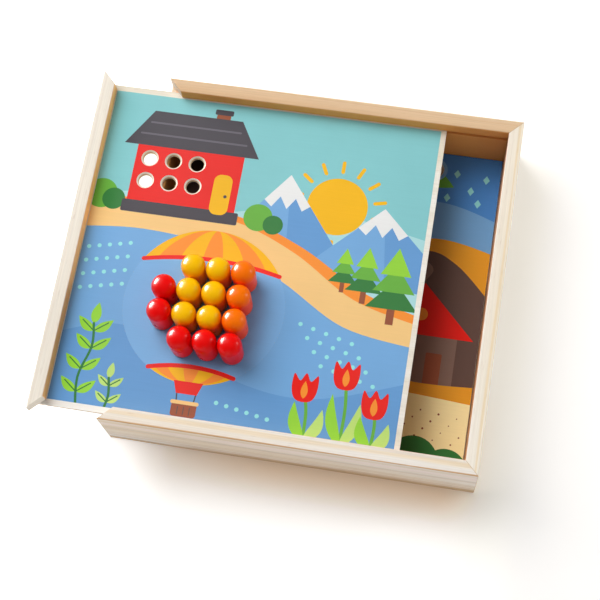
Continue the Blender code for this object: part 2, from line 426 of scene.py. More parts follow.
@dataclass(frozen=True)
class Finish:
    """A surface, with a material that each kind of finish writes.

    Attributes:
        name: Name of its material.
        roughness: Its roughness.
        uneven: How far the roughness strays.
        specular: How strongly it mirrors.
        grain: Which way the fibres of its wood run.
        depth: How deep its relief is.
        relief: How much of that relief shows.
    """

    name: str
    roughness: float = 0.5
    uneven: float = 0.1
    specular: float = 0.35
    grain: Grain = Grain.ALONG_X
    depth: float = 0.0001
    relief: float = 0.5

    def material(self) -> Material:
        """Writes the material of the finish."""
        raise NotImplementedError

    def start(self) -> tuple[Material, Graph, Node]:
        """Makes an empty material.

        Returns:
            The material, its graph and its Principled node.
        """
        material = bpy.data.materials.new(self.name)
        graph = Graph.blank(material)
        shader = graph.add("ShaderNodeBsdfPrincipled", {"Specular IOR Level": self.specular})
        graph.add("ShaderNodeOutputMaterial", {"Surface": shader.outputs[0]})
        return material, graph, shader

    def place(self, graph: Graph, pith: Point = (0.0, 0.0)) -> NodeSocket:
        """Gives the place in the trunk that a point of the piece comes from.

        Args:
            graph: The material's graph.
            pith: The middle of the trunk across the fibres, in millimetres.

        Returns:
            The place, with the trunk along X and its middle at zero.
        """
        feeds = {
            "Vector": graph.spot(),
            "Rotation": (0.0, 0.0, self.grain.value),
            "Location": (0.0, -pith[0] * MM, -pith[1] * MM),
        }
        return graph.out("ShaderNodeMapping", feeds)

    def paint(self, graph: Graph, shader: Node, body: Feed, dull: Feed, height: Feed) -> None:
        """Gives the shader its colour, its uneven gloss and its relief.

        Args:
            graph: The material's graph.
            shader: The Principled node.
            body: The colour.
            dull: Where the gloss is duller, from 0 to 1.
            height: The relief, from 0 to 1.
        """
        graph.feed(shader.inputs["Base Color"], body)
        rough = graph.spread(dull, self.roughness - self.uneven, self.roughness + self.uneven)
        graph.feed(shader.inputs["Roughness"], rough)
        feeds = {"Strength": self.relief, "Distance": self.depth, "Height": height}
        graph.feed(shader.inputs["Normal"], graph.out("ShaderNodeBump", feeds))


@dataclass(frozen=True)
class Streak:
    """A band of another colour that runs along a rail, mostly grain; one on the front rail is
    painted light.

    Attributes:
        across: Its place across the rail in the CAD frame, in millimetres.
        height: Its height in the CAD frame, in millimetres.
        reach: How far it spreads, in millimetres.
        strength: How much of its colour shows.
        colour: Its screen colour.
    """

    across: float
    height: float
    reach: float
    strength: float
    colour: Screen

    STRETCH = (0.10, 1.0, 1.0)
    FLAT = (0.0, 1.0, 1.0)
    STRAY_SCALE = 70.0
    STRAY = (-0.5, 2.2)
    LEAST = 0.01 * MM
    FADE = (1.0, 0.35)

    def mask(self, graph: Graph, place: Feed) -> NodeSocket:
        """Gives how much of the streak shows at a place of the rail.

        Args:
            graph: The material's graph.
            place: The place in a trunk that has the streak in its middle.

        Returns:
            A mask from 0 to 1 that fades towards the streak's edge.
        """
        drawn = graph.vector("MULTIPLY", place, self.STRETCH)
        stray = MOTTLE.place(graph, Vector=drawn, Scale=self.STRAY_SCALE)["Cloud"]
        gap = graph.measure("LENGTH", graph.vector("MULTIPLY", place, self.FLAT))
        reach = graph.spread(stray, *(share * self.reach * MM for share in self.STRAY))
        reach = graph.math("MAXIMUM", reach, self.LEAST)
        return graph.step(graph.math("DIVIDE", gap, reach), *self.FADE)


@dataclass(frozen=True)
class PineFinish(Finish):
    """Bare sanded pine, cut from a trunk.

    Attributes:
        pith: The middle of the trunk across the fibres, in millimetres.
        ring_width: Width of a year's ring in millimetres.
        wander: How far the rings stray along the trunk, in millimetres.
        contrast: How much the late wood stands out.
        early: Screen colour of the early wood.
        late: Screen colour of the late wood.
        warm: Screen colour of the warmer stretches of early wood.
        inner_shade: Screen colour of the shade painted on the faces that look into the box and on
            the lid's groove, warm like light that the wood throws about in the box.
        inner_shade_from: Distance from the box's middle below which a face looks inwards and gets
            that painted shade.
        groove_reach: Distance from the box's middle that the lid's groove goes to.
        groove_top: Height of the groove's top.
        mitre_tone_and_light: Screen colour laid over the mitre faces: pale end grain on the rails,
            near white on the back rail as painted light, and the glue's own colour on the glue.
        fleck: Screen colour of the flecks.
        streaks: Bands of another colour along the rail, mostly grain, with painted light on the
            front rail.
    """

    roughness: float = 0.56
    specular: float = 0.14
    depth: float = 0.00012
    pith: Point = (0.0, 0.0)
    ring_width: float = 3.2
    wander: float = 2.2
    contrast: float = 0.55
    early: Screen = (243, 233, 216)
    late: Screen = (214, 178, 132)
    warm: Screen = (236, 214, 182)
    inner_shade: Screen = (238, 162, 74)
    inner_shade_from: float = 0.1159
    groove_reach: float = 0.1214
    groove_top: float = 0.0438
    mitre_tone_and_light: Screen = (236, 222, 208)
    fleck: Screen = (168, 124, 80)
    streaks: tuple[Streak, ...] = ()

    FINENESS = 1300.0
    WARM_FROM = (0.34, 0.72)
    SHADE = (0.86, 1.12)
    INSIDE_SHARE, SAWN_SHARE, FLECK_SHARE = 0.85, 0.8, 0.16
    RING_RELIEF = 0.5
    MITRE_EDGE = (0.0003, 0.0001)
    WALL_EDGE = 0.0004
    GROOVE_EDGE = 0.0002

    def material(self) -> Material:
        """Writes the pine's rings, fibres, streaks and flecks.

        Returns:
            The material.
        """
        material, graph, shader = self.start()
        place = self.place(graph, self.pith)
        width, wander = self.ring_width * MM, self.wander * MM
        rings = GROWTH_RINGS.place(graph, Vector=place, Width=width, Wander=wander)
        fibre = WOOD_FIBRE.place(graph, Vector=place, Fineness=self.FINENESS)
        tone = graph.step(rings["Board Tone"], *self.WARM_FROM)
        body = graph.mix(tone, linear(self.early), linear(self.warm))
        body = graph.over(rings["Late Wood"], self.contrast, body, self.late)
        for streak in self.streaks:
            mask = streak.mask(graph, self.place(graph, (streak.across, streak.height)))
            body = graph.over(mask, streak.strength, body, streak.colour)
        body = graph.shaded(body, fibre["Streak"], *self.SHADE)
        # Painted shade, warm and darker, on the faces that look into the box and on the groove
        body = graph.over(self.inner_shade_mask(graph), self.INSIDE_SHARE, body, self.inner_shade)
        # Pale end grain on the mitre faces, and near white on the back rail as painted light
        body = graph.over(self.mitred(graph), self.SAWN_SHARE, body, self.mitre_tone_and_light)
        body = graph.over(fibre["Fleck"], self.FLECK_SHARE, body, self.fleck)
        height = graph.math("MULTIPLY_ADD", rings["Late Wood"], self.RING_RELIEF, fibre["Streak"])
        self.paint(graph, shader, body, fibre["Streak"], height)
        return material

    def mitred(self, graph: Graph) -> NodeSocket:
        """Finds the faces of the box's mitres, which lie on its diagonals.

        Args:
            graph: The material's graph.

        Returns:
            A mask that is 1 there.
        """
        x, y, _ = graph.parts(graph.vector("ABSOLUTE", graph.spot()))
        gap = graph.math("ABSOLUTE", graph.math("SUBTRACT", x, y))
        return graph.step(gap, *self.MITRE_EDGE)

    def inner_shade_mask(self, graph: Graph) -> NodeSocket:
        """Finds the faces that look into the box and the lid's groove, where shade is painted on
        the wood.

        Args:
            graph: The material's graph.

        Returns:
            A mask that is 1 there.
        """
        x, y, z = graph.parts(graph.vector("ABSOLUTE", graph.spot()))
        reach = graph.math("MAXIMUM", x, y)
        wall = graph.step(reach, self.inner_shade_from, self.inner_shade_from - self.WALL_EDGE)
        below = graph.step(z, self.groove_top + self.GROOVE_EDGE, self.groove_top)
        groove = graph.step(reach, self.groove_reach, self.groove_reach - self.WALL_EDGE)
        return graph.math("MAXIMUM", wall, graph.math("MULTIPLY", groove, below))


@dataclass(frozen=True)
class PlywoodFinish(Finish):
    """Birch plywood of three plies, whose edges show the darker core.

    Attributes:
        underside: Height of the board's underside.
        thickness: Thickness of the board.
        face: Screen colour of the veneer.
        band: Screen colour of its darker bands.
        core: Screen colour of the middle ply.
        fleck: Screen colour of the flecks.
    """

    roughness: float = 0.58
    specular: float = 0.28
    relief: float = 0.45
    underside: float = 0.0
    thickness: float = 0.003
    face: Screen = (246, 241, 232)
    band: Screen = (231, 221, 200)
    core: Screen = (208, 176, 134)
    fleck: Screen = (164, 122, 82)

    FLAT = (1.0, 1.0, 0.35)
    STRETCH = (0.10, 1.0, 1.0)
    FINENESS = 1100.0
    VENEER_SCALE = 46.0
    BAND_FROM = (0.32, 0.72)
    CORE_HALF = 0.19
    SHADE = (0.87, 1.10)
    FLECK_SHARE = 0.22

    def material(self) -> Material:
        """Writes the veneer's figure on the faces and the plies on the edges.

        Returns:
            The material.
        """
        material, graph, shader = self.start()
        place = self.place(graph)
        flat = graph.vector("MULTIPLY", place, self.FLAT)
        fibre = WOOD_FIBRE.place(graph, Vector=flat, Fineness=self.FINENESS)
        drawn = graph.vector("MULTIPLY", place, self.STRETCH)
        veneer = MOTTLE.place(graph, Vector=drawn, Scale=self.VENEER_SCALE)["Cloud"]
        band = graph.step(veneer, *self.BAND_FROM)
        body = graph.mix(band, linear(self.face), linear(self.band))
        level = graph.math("SUBTRACT", graph.parts(place)[2], self.underside)
        level = graph.math("DIVIDE", level, self.thickness)
        core = graph.math("COMPARE", level, 0.5, self.CORE_HALF)
        body = graph.mix(core, body, linear(self.core))
        body = graph.shaded(body, fibre["Streak"], *self.SHADE)
        body = graph.over(fibre["Fleck"], self.FLECK_SHARE, body, self.fleck)
        self.paint(graph, shader, body, fibre["Streak"], fibre["Streak"])
        return material


@dataclass(frozen=True)
class InkFinish(Finish):
    """Printed colours in a slight satin coat, with the veneer's fibres just felt through it."""

    roughness: float = 0.56
    uneven: float = 0.07
    specular: float = 0.16
    depth: float = 0.00006
    relief: float = 0.25

    FINENESS = 1100.0
    CLOUD_SCALE = 26.0
    CLOUD_SHADE = (0.94, 1.06)
    FIBRE_SHADE = (0.965, 1.035)
    PEBBLE_RELIEF = 0.4

    def material(self) -> Material:
        """Writes the print from the colours that the sheet carries.

        Returns:
            The material.
        """
        material, graph, shader = self.start()
        place = self.place(graph)
        fibre = WOOD_FIBRE.place(graph, Vector=place, Fineness=self.FINENESS)["Streak"]
        coat = MOTTLE.place(graph, Vector=place, Scale=self.CLOUD_SCALE)
        ink = graph.out("ShaderNodeAttribute", attribute_name=INK_LAYER, attribute_type="GEOMETRY")
        body = graph.shaded(ink, coat["Cloud"], *self.CLOUD_SHADE)
        body = graph.shaded(body, fibre, *self.FIBRE_SHADE)
        height = graph.math("MULTIPLY_ADD", coat["Pebble"], self.PEBBLE_RELIEF, fibre)
        self.paint(graph, shader, body, coat["Pebble"], height)
        return material


@dataclass(frozen=True)
class LacquerFinish(Finish):
    """Gloss lacquer over turned wood, its colour lighter on the top and deeper down the sides as
    painted shade.

    Attributes:
        coat: Weight of the clear top coat.
        coat_roughness: Roughness of that coat.
        colour: Screen colour of one coat.
        top: Height of the piece's top.
        run: How far down from the top that painted shade deepens.
        lit_top_coats: Depth of colour on the top, in coats, kept light as painted light.
        shaded_side_coats: Depth of colour on the sides, in coats, deepened as painted shade.
    """

    roughness: float = 0.30
    uneven: float = 0.08
    specular: float = 0.13
    depth: float = 0.00004
    relief: float = 0.06
    coat: float = 0.12
    coat_roughness: float = 0.24
    colour: Screen = (240, 4, 3)
    top: float = 0.0
    run: float = 0.013
    lit_top_coats: float = 0.90
    shaded_side_coats: float = 1.42

    CLOUD_SCALE = 130.0
    STRAY = (-0.12, 0.12)
    RINGS = (0.12, 0.12, 1.0)
    RING_SCALE = 2200.0
    RING_RELIEF = 0.25

    def layer(self, coats: float) -> Colour:
        """Gives the colour through some coats, each of which takes the same share of the light."""
        red, green, blue, _ = linear(self.colour)
        return (red**coats, green**coats, blue**coats, 1.0)

    def material(self) -> Material:
        """Writes a coat whose colour is a little deeper and lighter from place to place, and
        deepens down the sides as painted shade.

        Returns:
            The material.
        """
        material, graph, shader = self.start()
        spot = graph.spot()
        coat = MOTTLE.place(graph, Vector=spot, Scale=self.CLOUD_SCALE)
        turned = graph.noise(graph.vector("MULTIPLY", spot, self.RINGS), self.RING_SCALE, 1.0)[0]
        # Painted shade: the colour deepens from the top down the sides
        side_shade = graph.step(graph.parts(spot)[2], self.top, self.top - self.run)
        depth = graph.math("ADD", side_shade, graph.spread(coat["Cloud"], *self.STRAY))
        body = graph.mix(depth, self.layer(self.lit_top_coats), self.layer(self.shaded_side_coats))
        height = graph.math("MULTIPLY_ADD", turned, self.RING_RELIEF, coat["Pebble"])
        self.paint(graph, shader, body, coat["Cloud"], height)
        graph.feed(shader.inputs["Coat Weight"], self.coat)
        graph.feed(shader.inputs["Coat Roughness"], self.coat_roughness)
        return material


class Way(Enum):
    """What a change on the floor goes by."""

    ACROSS = "X"
    BACK = "Y"
    AWAY = "distance from the middle"


@dataclass(frozen=True)
class Lift:
    """How much brighter the camera sees the paper past some place.

    Attributes:
        way: What it goes by.
        start: Where it begins.
        end: Where it is full.
        colour: The light that is added, linear.
    """

    way: Way
    start: float
    end: float
    colour: Colour


@dataclass(frozen=True)
class FloorFinish(Finish):
    """White paper sweep. To the camera it is a little brighter, so that it reads as white.

    Attributes:
        paper: Colour of the paper, linear.
        tooth: How dark the paper's darker fibres are.
        tooth_scale: How fine those fibres are.
        painted_warm_shade: Warm painted shade on the paper close to the front rail, for the shadow
            there and the light that the wood throws, linear.
        painted_warm_shade_ends: Ranges of X and Y over which that painted shade comes and goes.
        lift: How much brighter the camera sees the paper at the box.
        lifts: The same in front of the box, left of it, right of it, further right and far away.
    """

    paper: Colour = (0.97, 0.955, 0.935, 1.0)
    tooth: float = 0.985
    tooth_scale: float = 40.0
    painted_warm_shade: Colour = (0.80, 0.57, 0.34, 1.0)
    painted_warm_shade_ends: tuple[tuple[Way, float, float], ...] = (
        (Way.ACROSS, -0.140, 0.000),
        (Way.ACROSS, 0.140, 0.100),
        (Way.BACK, -0.157, -0.123),
        (Way.BACK, -0.04, -0.09),
    )
    lift: Colour = (0.18, 0.16, 0.14, 1.0)
    lifts: tuple[Lift, ...] = (
        Lift(Way.BACK, -0.145, -0.185, (0.28, 0.28, 0.28, 1.0)),
        Lift(Way.ACROSS, -0.072, -0.142, (0.74, 0.74, 0.74, 1.0)),
        Lift(Way.ACROSS, 0.100, 0.130, (0.22, 0.21, 0.175, 1.0)),
        Lift(Way.ACROSS, 0.138, 0.166, (0.13, 0.125, 0.12, 1.0)),
        Lift(Way.AWAY, 0.5, 2.2, (0.98, 0.98, 0.98, 1.0)),
    )

    def material(self) -> Material:
        """Writes the paper and the lift that camera, glossy and transmission rays see.

        Returns:
            The material.
        """
        material = bpy.data.materials.new(self.name)
        graph = Graph.blank(material)
        spot = graph.spot()
        x, y, _ = graph.parts(spot)
        ways = {Way.ACROSS: x, Way.BACK: y, Way.AWAY: graph.measure("LENGTH", spot)}
        soft = tuple(part * self.tooth for part in self.paper[:3]) + (1.0,)
        tooth = MOTTLE.place(graph, Vector=spot, Scale=self.tooth_scale)["Cloud"]
        paper = graph.mix(tooth, self.paper, soft)
        # Painted shade, warm, on the paper close to the front rail
        near: Feed = 1.0
        for way, start, end in self.painted_warm_shade_ends:
            near = graph.math("MULTIPLY", near, graph.step(ways[way], start, end))
        sheet = graph.out("ShaderNodeBsdfDiffuse", {"Color": graph.mix(near, paper, self.painted_warm_shade)})
        lift: Feed = self.lift
        for part in self.lifts:
            lift = graph.mix(graph.step(ways[part.way], part.start, part.end), lift, part.colour)
        bright = graph.out("ShaderNodeEmission", {"Color": lift, "Strength": 1.0})
        lit = graph.out("ShaderNodeAddShader", {0: sheet, 1: bright})
        # Camera, glossy and transmission rays show a background
        rays = graph.add("ShaderNodeLightPath").outputs
        seen = graph.math("MAXIMUM", rays["Is Camera Ray"], rays["Is Glossy Ray"])
        seen = graph.math("MAXIMUM", seen, rays["Is Transmission Ray"])
        surface = graph.out("ShaderNodeMixShader", {0: seen, 1: sheet, 2: lit})
        graph.add("ShaderNodeOutputMaterial", {"Surface": surface})
        return material


def put(name: str, data: ID) -> Object:
    """Links a new object at the origin.

    Args:
        name: Its name.
        data: Its mesh, its light or its camera.

    Returns:
        The object.
    """
    thing = bpy.data.objects.new(name, data)
    bpy.context.scene.collection.objects.link(thing)
    return thing


def finished_piece(name: str, mesh: Mesh, finish: Material) -> Object:
    """Turns a mesh's faces outwards, smooths its round faces and links it as a piece.

    Args:
        name: Name of the piece.
        mesh: Its closed mesh, in place.
        finish: Its material.

    Returns:
        The piece, at the origin.
    """
    work = bmesh.new()
    work.from_mesh(mesh)
    bmesh.ops.recalc_face_normals(work, faces=work.faces)
    work.to_mesh(mesh)
    work.free()
    mesh.name = name
    mesh.materials.clear()
    mesh.materials.append(finish)
    mesh.shade_smooth()
    mesh.set_sharp_from_angle(angle=SHARP_ANGLE)
    return put(name, mesh)


class NodeTool(NodeGroup):
    """A Geometry Nodes tree that is run on the points of a seed and leaves a plain mesh."""

    kind = "GeometryNodeTree"
    outputs = (("Geometry", GEOMETRY),)

    SEED = ("Geometry", GEOMETRY, None)
    FINISH = ("Finish", MATERIAL, None)

    def shape(self, graph: Graph, feeds: NodeOutputs) -> NodeSocket:
        """Writes the tool's nodes, fed by the seed and the named inputs, and gives the shape."""
        raise NotImplementedError

    def write(self, graph: Graph, feeds: NodeOutputs) -> Sequence[NodeSocket]:
        """Writes the shape, made real and given its finish.

        Args:
            graph: The tool's own tree.
            feeds: The seed and the named inputs.

        Returns:
            The finished shape.
        """
        whole = graph.out("GeometryNodeRealizeInstances", {0: self.shape(graph, feeds)})
        dressing = {"Geometry": whole, "Material": feeds["Finish"]}
        return [graph.out("GeometryNodeSetMaterial", dressing)]

    def run(
        self,
        name: str,
        seed: Sequence[Spot],
        finish: Material,
        settings: dict[str, object],
    ) -> Object:
        """Runs the tree and keeps its result as a plain mesh at the origin.

        Args:
            name: Name of the finished piece.
            seed: The points that the tree starts from.
            finish: The material of the piece.
            settings: Values of the named inputs.

        Returns:
            The finished piece.
        """
        points = bpy.data.meshes.new(name + "_seed")
        points.from_pydata(seed, [], [])
        draft = put(name + "_draft", points)
        modifier = draft.modifiers.new(self.name, "NODES")
        modifier.node_group = self.tree()
        values = dict(settings, Finish=finish)
        for item in modifier.node_group.interface.items_tree:
            if item.in_out == "INPUT" and item.name in values:
                modifier[item.identifier] = values[item.name]
        ready = draft.evaluated_get(bpy.context.evaluated_depsgraph_get())
        mesh = bpy.data.meshes.new_from_object(ready)
        draft.modifiers.clear()
        bpy.data.objects.remove(draft)
        bpy.data.meshes.remove(points)
        return finished_piece(name, mesh, finish)


class Lathe(NodeTool):
    """Turns a profile about Z. The seed's points give each ring's radius as X and height as Z."""

    name = "lathe"
    inputs = (
        NodeTool.SEED,
        ("Sides", INTEGER, 48),
        ("Place", VECTOR, None),
        ("Turn", FLOAT, 0.0),
        ("Unevenness", FLOAT, 0.0),
        ("Seed", FLOAT, 0.0),
        NodeTool.FINISH,
    )

    WAVE_SCALE = 95.0

    def shape(self, graph: Graph, feeds: NodeOutputs) -> NodeSocket:
        """Writes a grid whose rows are the rings, rolled up, welded and made slightly uneven.

        Args:
            graph: The tool's own tree.
            feeds: The seed and the named inputs.

        Returns:
            The turned piece.
        """
        seed = {0: feeds["Geometry"]}
        size = graph.add("GeometryNodeAttributeDomainSize", seed, component="MESH")
        row = graph.math("ADD", feeds["Sides"], 1.0)
        cells = {"Vertices X": size.outputs["Point Count"], "Vertices Y": row}
        grid = graph.out("GeometryNodeMeshGrid", cells)
        index = graph.out("GeometryNodeInputIndex")
        ring = graph.math("FLOOR", graph.math("DIVIDE", graph.math("ADD", index, 0.5), row))
        side = graph.math("SUBTRACT", index, graph.math("MULTIPLY", ring, row))
        spot = graph.out("GeometryNodeInputPosition")
        profile = graph.out(
            "GeometryNodeSampleIndex",
            {"Geometry": feeds["Geometry"], "Value": spot, "Index": ring},
            data_type="FLOAT_VECTOR",
            domain="POINT",
        )
        radius, _, height = graph.parts(profile)
        turn = graph.math("MULTIPLY", graph.math("DIVIDE", side, feeds["Sides"]), math.tau)
        turn = graph.math("ADD", turn, feeds["Turn"])
        x = graph.math("MULTIPLY", radius, graph.math("COSINE", turn))
        y = graph.math("MULTIPLY", radius, graph.math("SINE", turn))
        rolled = graph.out("ShaderNodeCombineXYZ", {0: x, 1: y, 2: height})
        shape = graph.out("GeometryNodeSetPosition", {0: grid, "Position": rolled})
        shape = graph.out("GeometryNodeMergeByDistance", {0: shape, "Distance": WELD})
        own = graph.out("ShaderNodeCombineXYZ", {0: feeds["Seed"]})
        drift = graph.vector("ADD", graph.out("GeometryNodeInputPosition"), own)
        wave = graph.math("SUBTRACT", graph.noise(drift, self.WAVE_SCALE, 1.0)[0], 0.5)
        amount = graph.math("MULTIPLY", wave, feeds["Unevenness"])
        push = graph.scaled(graph.out("GeometryNodeInputNormal"), amount)
        shape = graph.out("GeometryNodeSetPosition", {0: shape, "Offset": push})
        return graph.out("GeometryNodeTransform", {0: shape, "Translation": feeds["Place"]})


class DrillPress(NodeTool):
    """Drills and countersinks a board at the seed's points."""

    name = "drill_press"
    inputs = (
        NodeTool.SEED,
        ("Size", VECTOR, None),
        ("Centre", VECTOR, None),
        ("Bore", FLOAT, 0.0094),
        ("Mouth", FLOAT, 0.0121),
        ("Sides", INTEGER, 48),
        NodeTool.FINISH,
    )

    def shape(self, graph: Graph, feeds: NodeOutputs) -> NodeSocket:
        """Writes the board and cuts it by a drill and a countersink at every point.

        Args:
            graph: The tool's own tree.
            feeds: The seed and the named inputs.

        Returns:
            The drilled board.
        """
        block = graph.out("GeometryNodeMeshCube", {"Size": feeds["Size"]})
        block = graph.out("GeometryNodeTransform", {0: block, "Translation": feeds["Centre"]})
        thickness = graph.parts(feeds["Size"])[2]
        rod = {
            "Vertices": feeds["Sides"],
            "Radius": graph.math("MULTIPLY", feeds["Bore"], 0.5),
            "Depth": graph.math("MULTIPLY", thickness, 3.0),
        }
        drill = graph.out("GeometryNodeMeshCylinder", rod)
        # The countersink is a cone of 45 degrees, whose tip lies below the board's top
        reach = graph.math("MULTIPLY", feeds["Mouth"], 0.25)
        cone = {
            "Vertices": feeds["Sides"],
            "Radius Top": graph.math("MULTIPLY", feeds["Mouth"], 0.75),
            "Radius Bottom": reach,
            "Depth": graph.math("MULTIPLY", feeds["Mouth"], 0.5),
        }
        sink = graph.out("GeometryNodeMeshCone", cone)
        drop = graph.math("SUBTRACT", graph.math("MULTIPLY", thickness, 0.5), reach)
        rise = graph.out("ShaderNodeCombineXYZ", {2: drop})
        sink = graph.out("GeometryNodeTransform", {0: sink, "Translation": rise})
        for cutter in (drill, sink):
            copies = {"Points": feeds["Geometry"], "Instance": cutter}
            cutters = graph.out("GeometryNodeInstanceOnPoints", copies)
            cutters = graph.out("GeometryNodeRealizeInstances", {0: cutters})
            block = graph.out(
                "GeometryNodeMeshBoolean",
                {"Mesh 1": block, "Mesh 2": cutters},
                operation="DIFFERENCE",
                solver="EXACT",
            )
        return graph.out("GeometryNodeMergeByDistance", {0: block, "Distance": WELD})


LATHE = Lathe()
DRILL_PRESS = DrillPress()


class Draw:
    """Outlines for the pictures, in millimetres."""

    ROUND_STEPS = 6
    LEAF_STEPS = 12
    LEAF_BELLY, LEAF_FULLNESS = 0.8, 0.9

    @staticmethod
    def polar(centre: Point, radii: Point, turn: float) -> Point:
        """Gives the point of an ellipse at a turn from its right-hand end."""
        return (centre[0] + radii[0] * math.cos(turn), centre[1] + radii[1] * math.sin(turn))

    @staticmethod
    def disc(centre: Point, radius: float, steps: int = 48) -> Outline:
        """Draws a circle."""
        radii = (radius, radius)
        return [Draw.polar(centre, radii, math.tau * step / steps) for step in range(steps)]

    @staticmethod
    def panel(low: Point, high: Point, corner: float = 0.0) -> Outline:
        """Draws a rectangle with round corners.

        Args:
            low: Front left corner.
            high: Back right corner.
            corner: Radius of the corners.

        Returns:
            The outline.
        """
        if corner <= 0:
            return [low, (high[0], low[1]), high, (low[0], high[1])]
        left, front = low[0] + corner, low[1] + corner
        right, back = high[0] - corner, high[1] - corner
        outline = []
        centres = ((right, back), (left, back), (left, front), (right, front))
        for quarter, centre in enumerate(centres):
            for step in range(Draw.ROUND_STEPS + 1):
                turn = math.pi / 2 * (quarter + step / Draw.ROUND_STEPS)
                outline.append(Draw.polar(centre, (corner, corner), turn))
        return outline

    @staticmethod
    def curve(points: Sequence[Point], closed: bool = False, steps: int = 8) -> Outline:
        """Runs a smooth line through points.

        Args:
            points: The points it passes.
            closed: Whether it comes back to its start.
            steps: Short straight pieces between two points.

        Returns:
            The points of the smooth line.
        """
        last = len(points) - 1
        line = []
        for index in range(last + 1 if closed else last):
            around = range(index - 1, index + 3)
            if closed:
                near = [points[i % (last + 1)] for i in around]
            else:
                near = [points[min(max(i, 0), last)] for i in around]
            a, b, c, d = (Vector(point) for point in near)
            for step in range(steps):
                t = step / steps
                spot = b * 2 + (c - a) * t
                spot += (a * 2 - b * 5 + c * 4 - d) * t**2
                spot += (b * 3 - a - c * 3 + d) * t**3
                line.append(tuple(spot / 2))
        if not closed:
            line.append(tuple(points[-1]))
        return line

    @staticmethod
    def hill(ridge: Sequence[Point], foot: float = -8.0) -> Outline:
        """Draws the land under a smooth ridge."""
        line = Draw.curve(ridge)
        return line + [(line[-1][0], foot), (line[0][0], foot)]

    @staticmethod
    def stroke(points: Sequence[Point], width: float, steps: int = 8) -> Outline:
        """Draws a smooth line with round ends.

        Args:
            points: The points it passes.
            width: Its width.
            steps: Short straight pieces between two points.

        Returns:
            The outline.
        """
        line = [Vector(point) for point in Draw.curve(points, steps=steps)]
        left, right = [], []
        for index, spot in enumerate(line):
            along = (line[min(index + 1, len(line) - 1)] - line[max(index - 1, 0)]).normalized()
            side = Vector((-along.y, along.x)) * (width / 2)
            left.append(spot + side)
            right.append(spot - side)
        ends = []
        turns = [math.pi * step / Draw.ROUND_STEPS for step in range(1, Draw.ROUND_STEPS)]
        for spot, start in ((line[-1], right[-1]), (line[0], left[0])):
            ends.append([spot + Matrix.Rotation(turn, 2) @ (start - spot) for turn in turns])
        return [tuple(spot) for spot in right + ends[0] + left[::-1] + ends[1]]

    @staticmethod
    def leaf(base: Point, tip: Point, width: float, bend: float = 0.0) -> Outline:
        """Draws a pointed leaf.

        Args:
            base: Where it grows from.
            tip: Its point.
            width: Its greatest width.
            bend: How far its middle leans to the left of the line from base to tip.

        Returns:
            The outline.
        """
        start, end = Vector(base), Vector(tip)
        along = end - start
        side = Vector((-along.y, along.x)).normalized()
        right, left = [], []
        for step in range(1, Draw.LEAF_STEPS):
            t = step / Draw.LEAF_STEPS
            spot = start + along * t + side * bend * math.sin(math.pi * t)
            half = width / 2 * math.sin(math.pi * t**Draw.LEAF_BELLY) ** Draw.LEAF_FULLNESS
            right.append(tuple(spot - side * half))
            left.append(tuple(spot + side * half))
        return [tuple(start)] + right + [tuple(end)] + left[::-1]


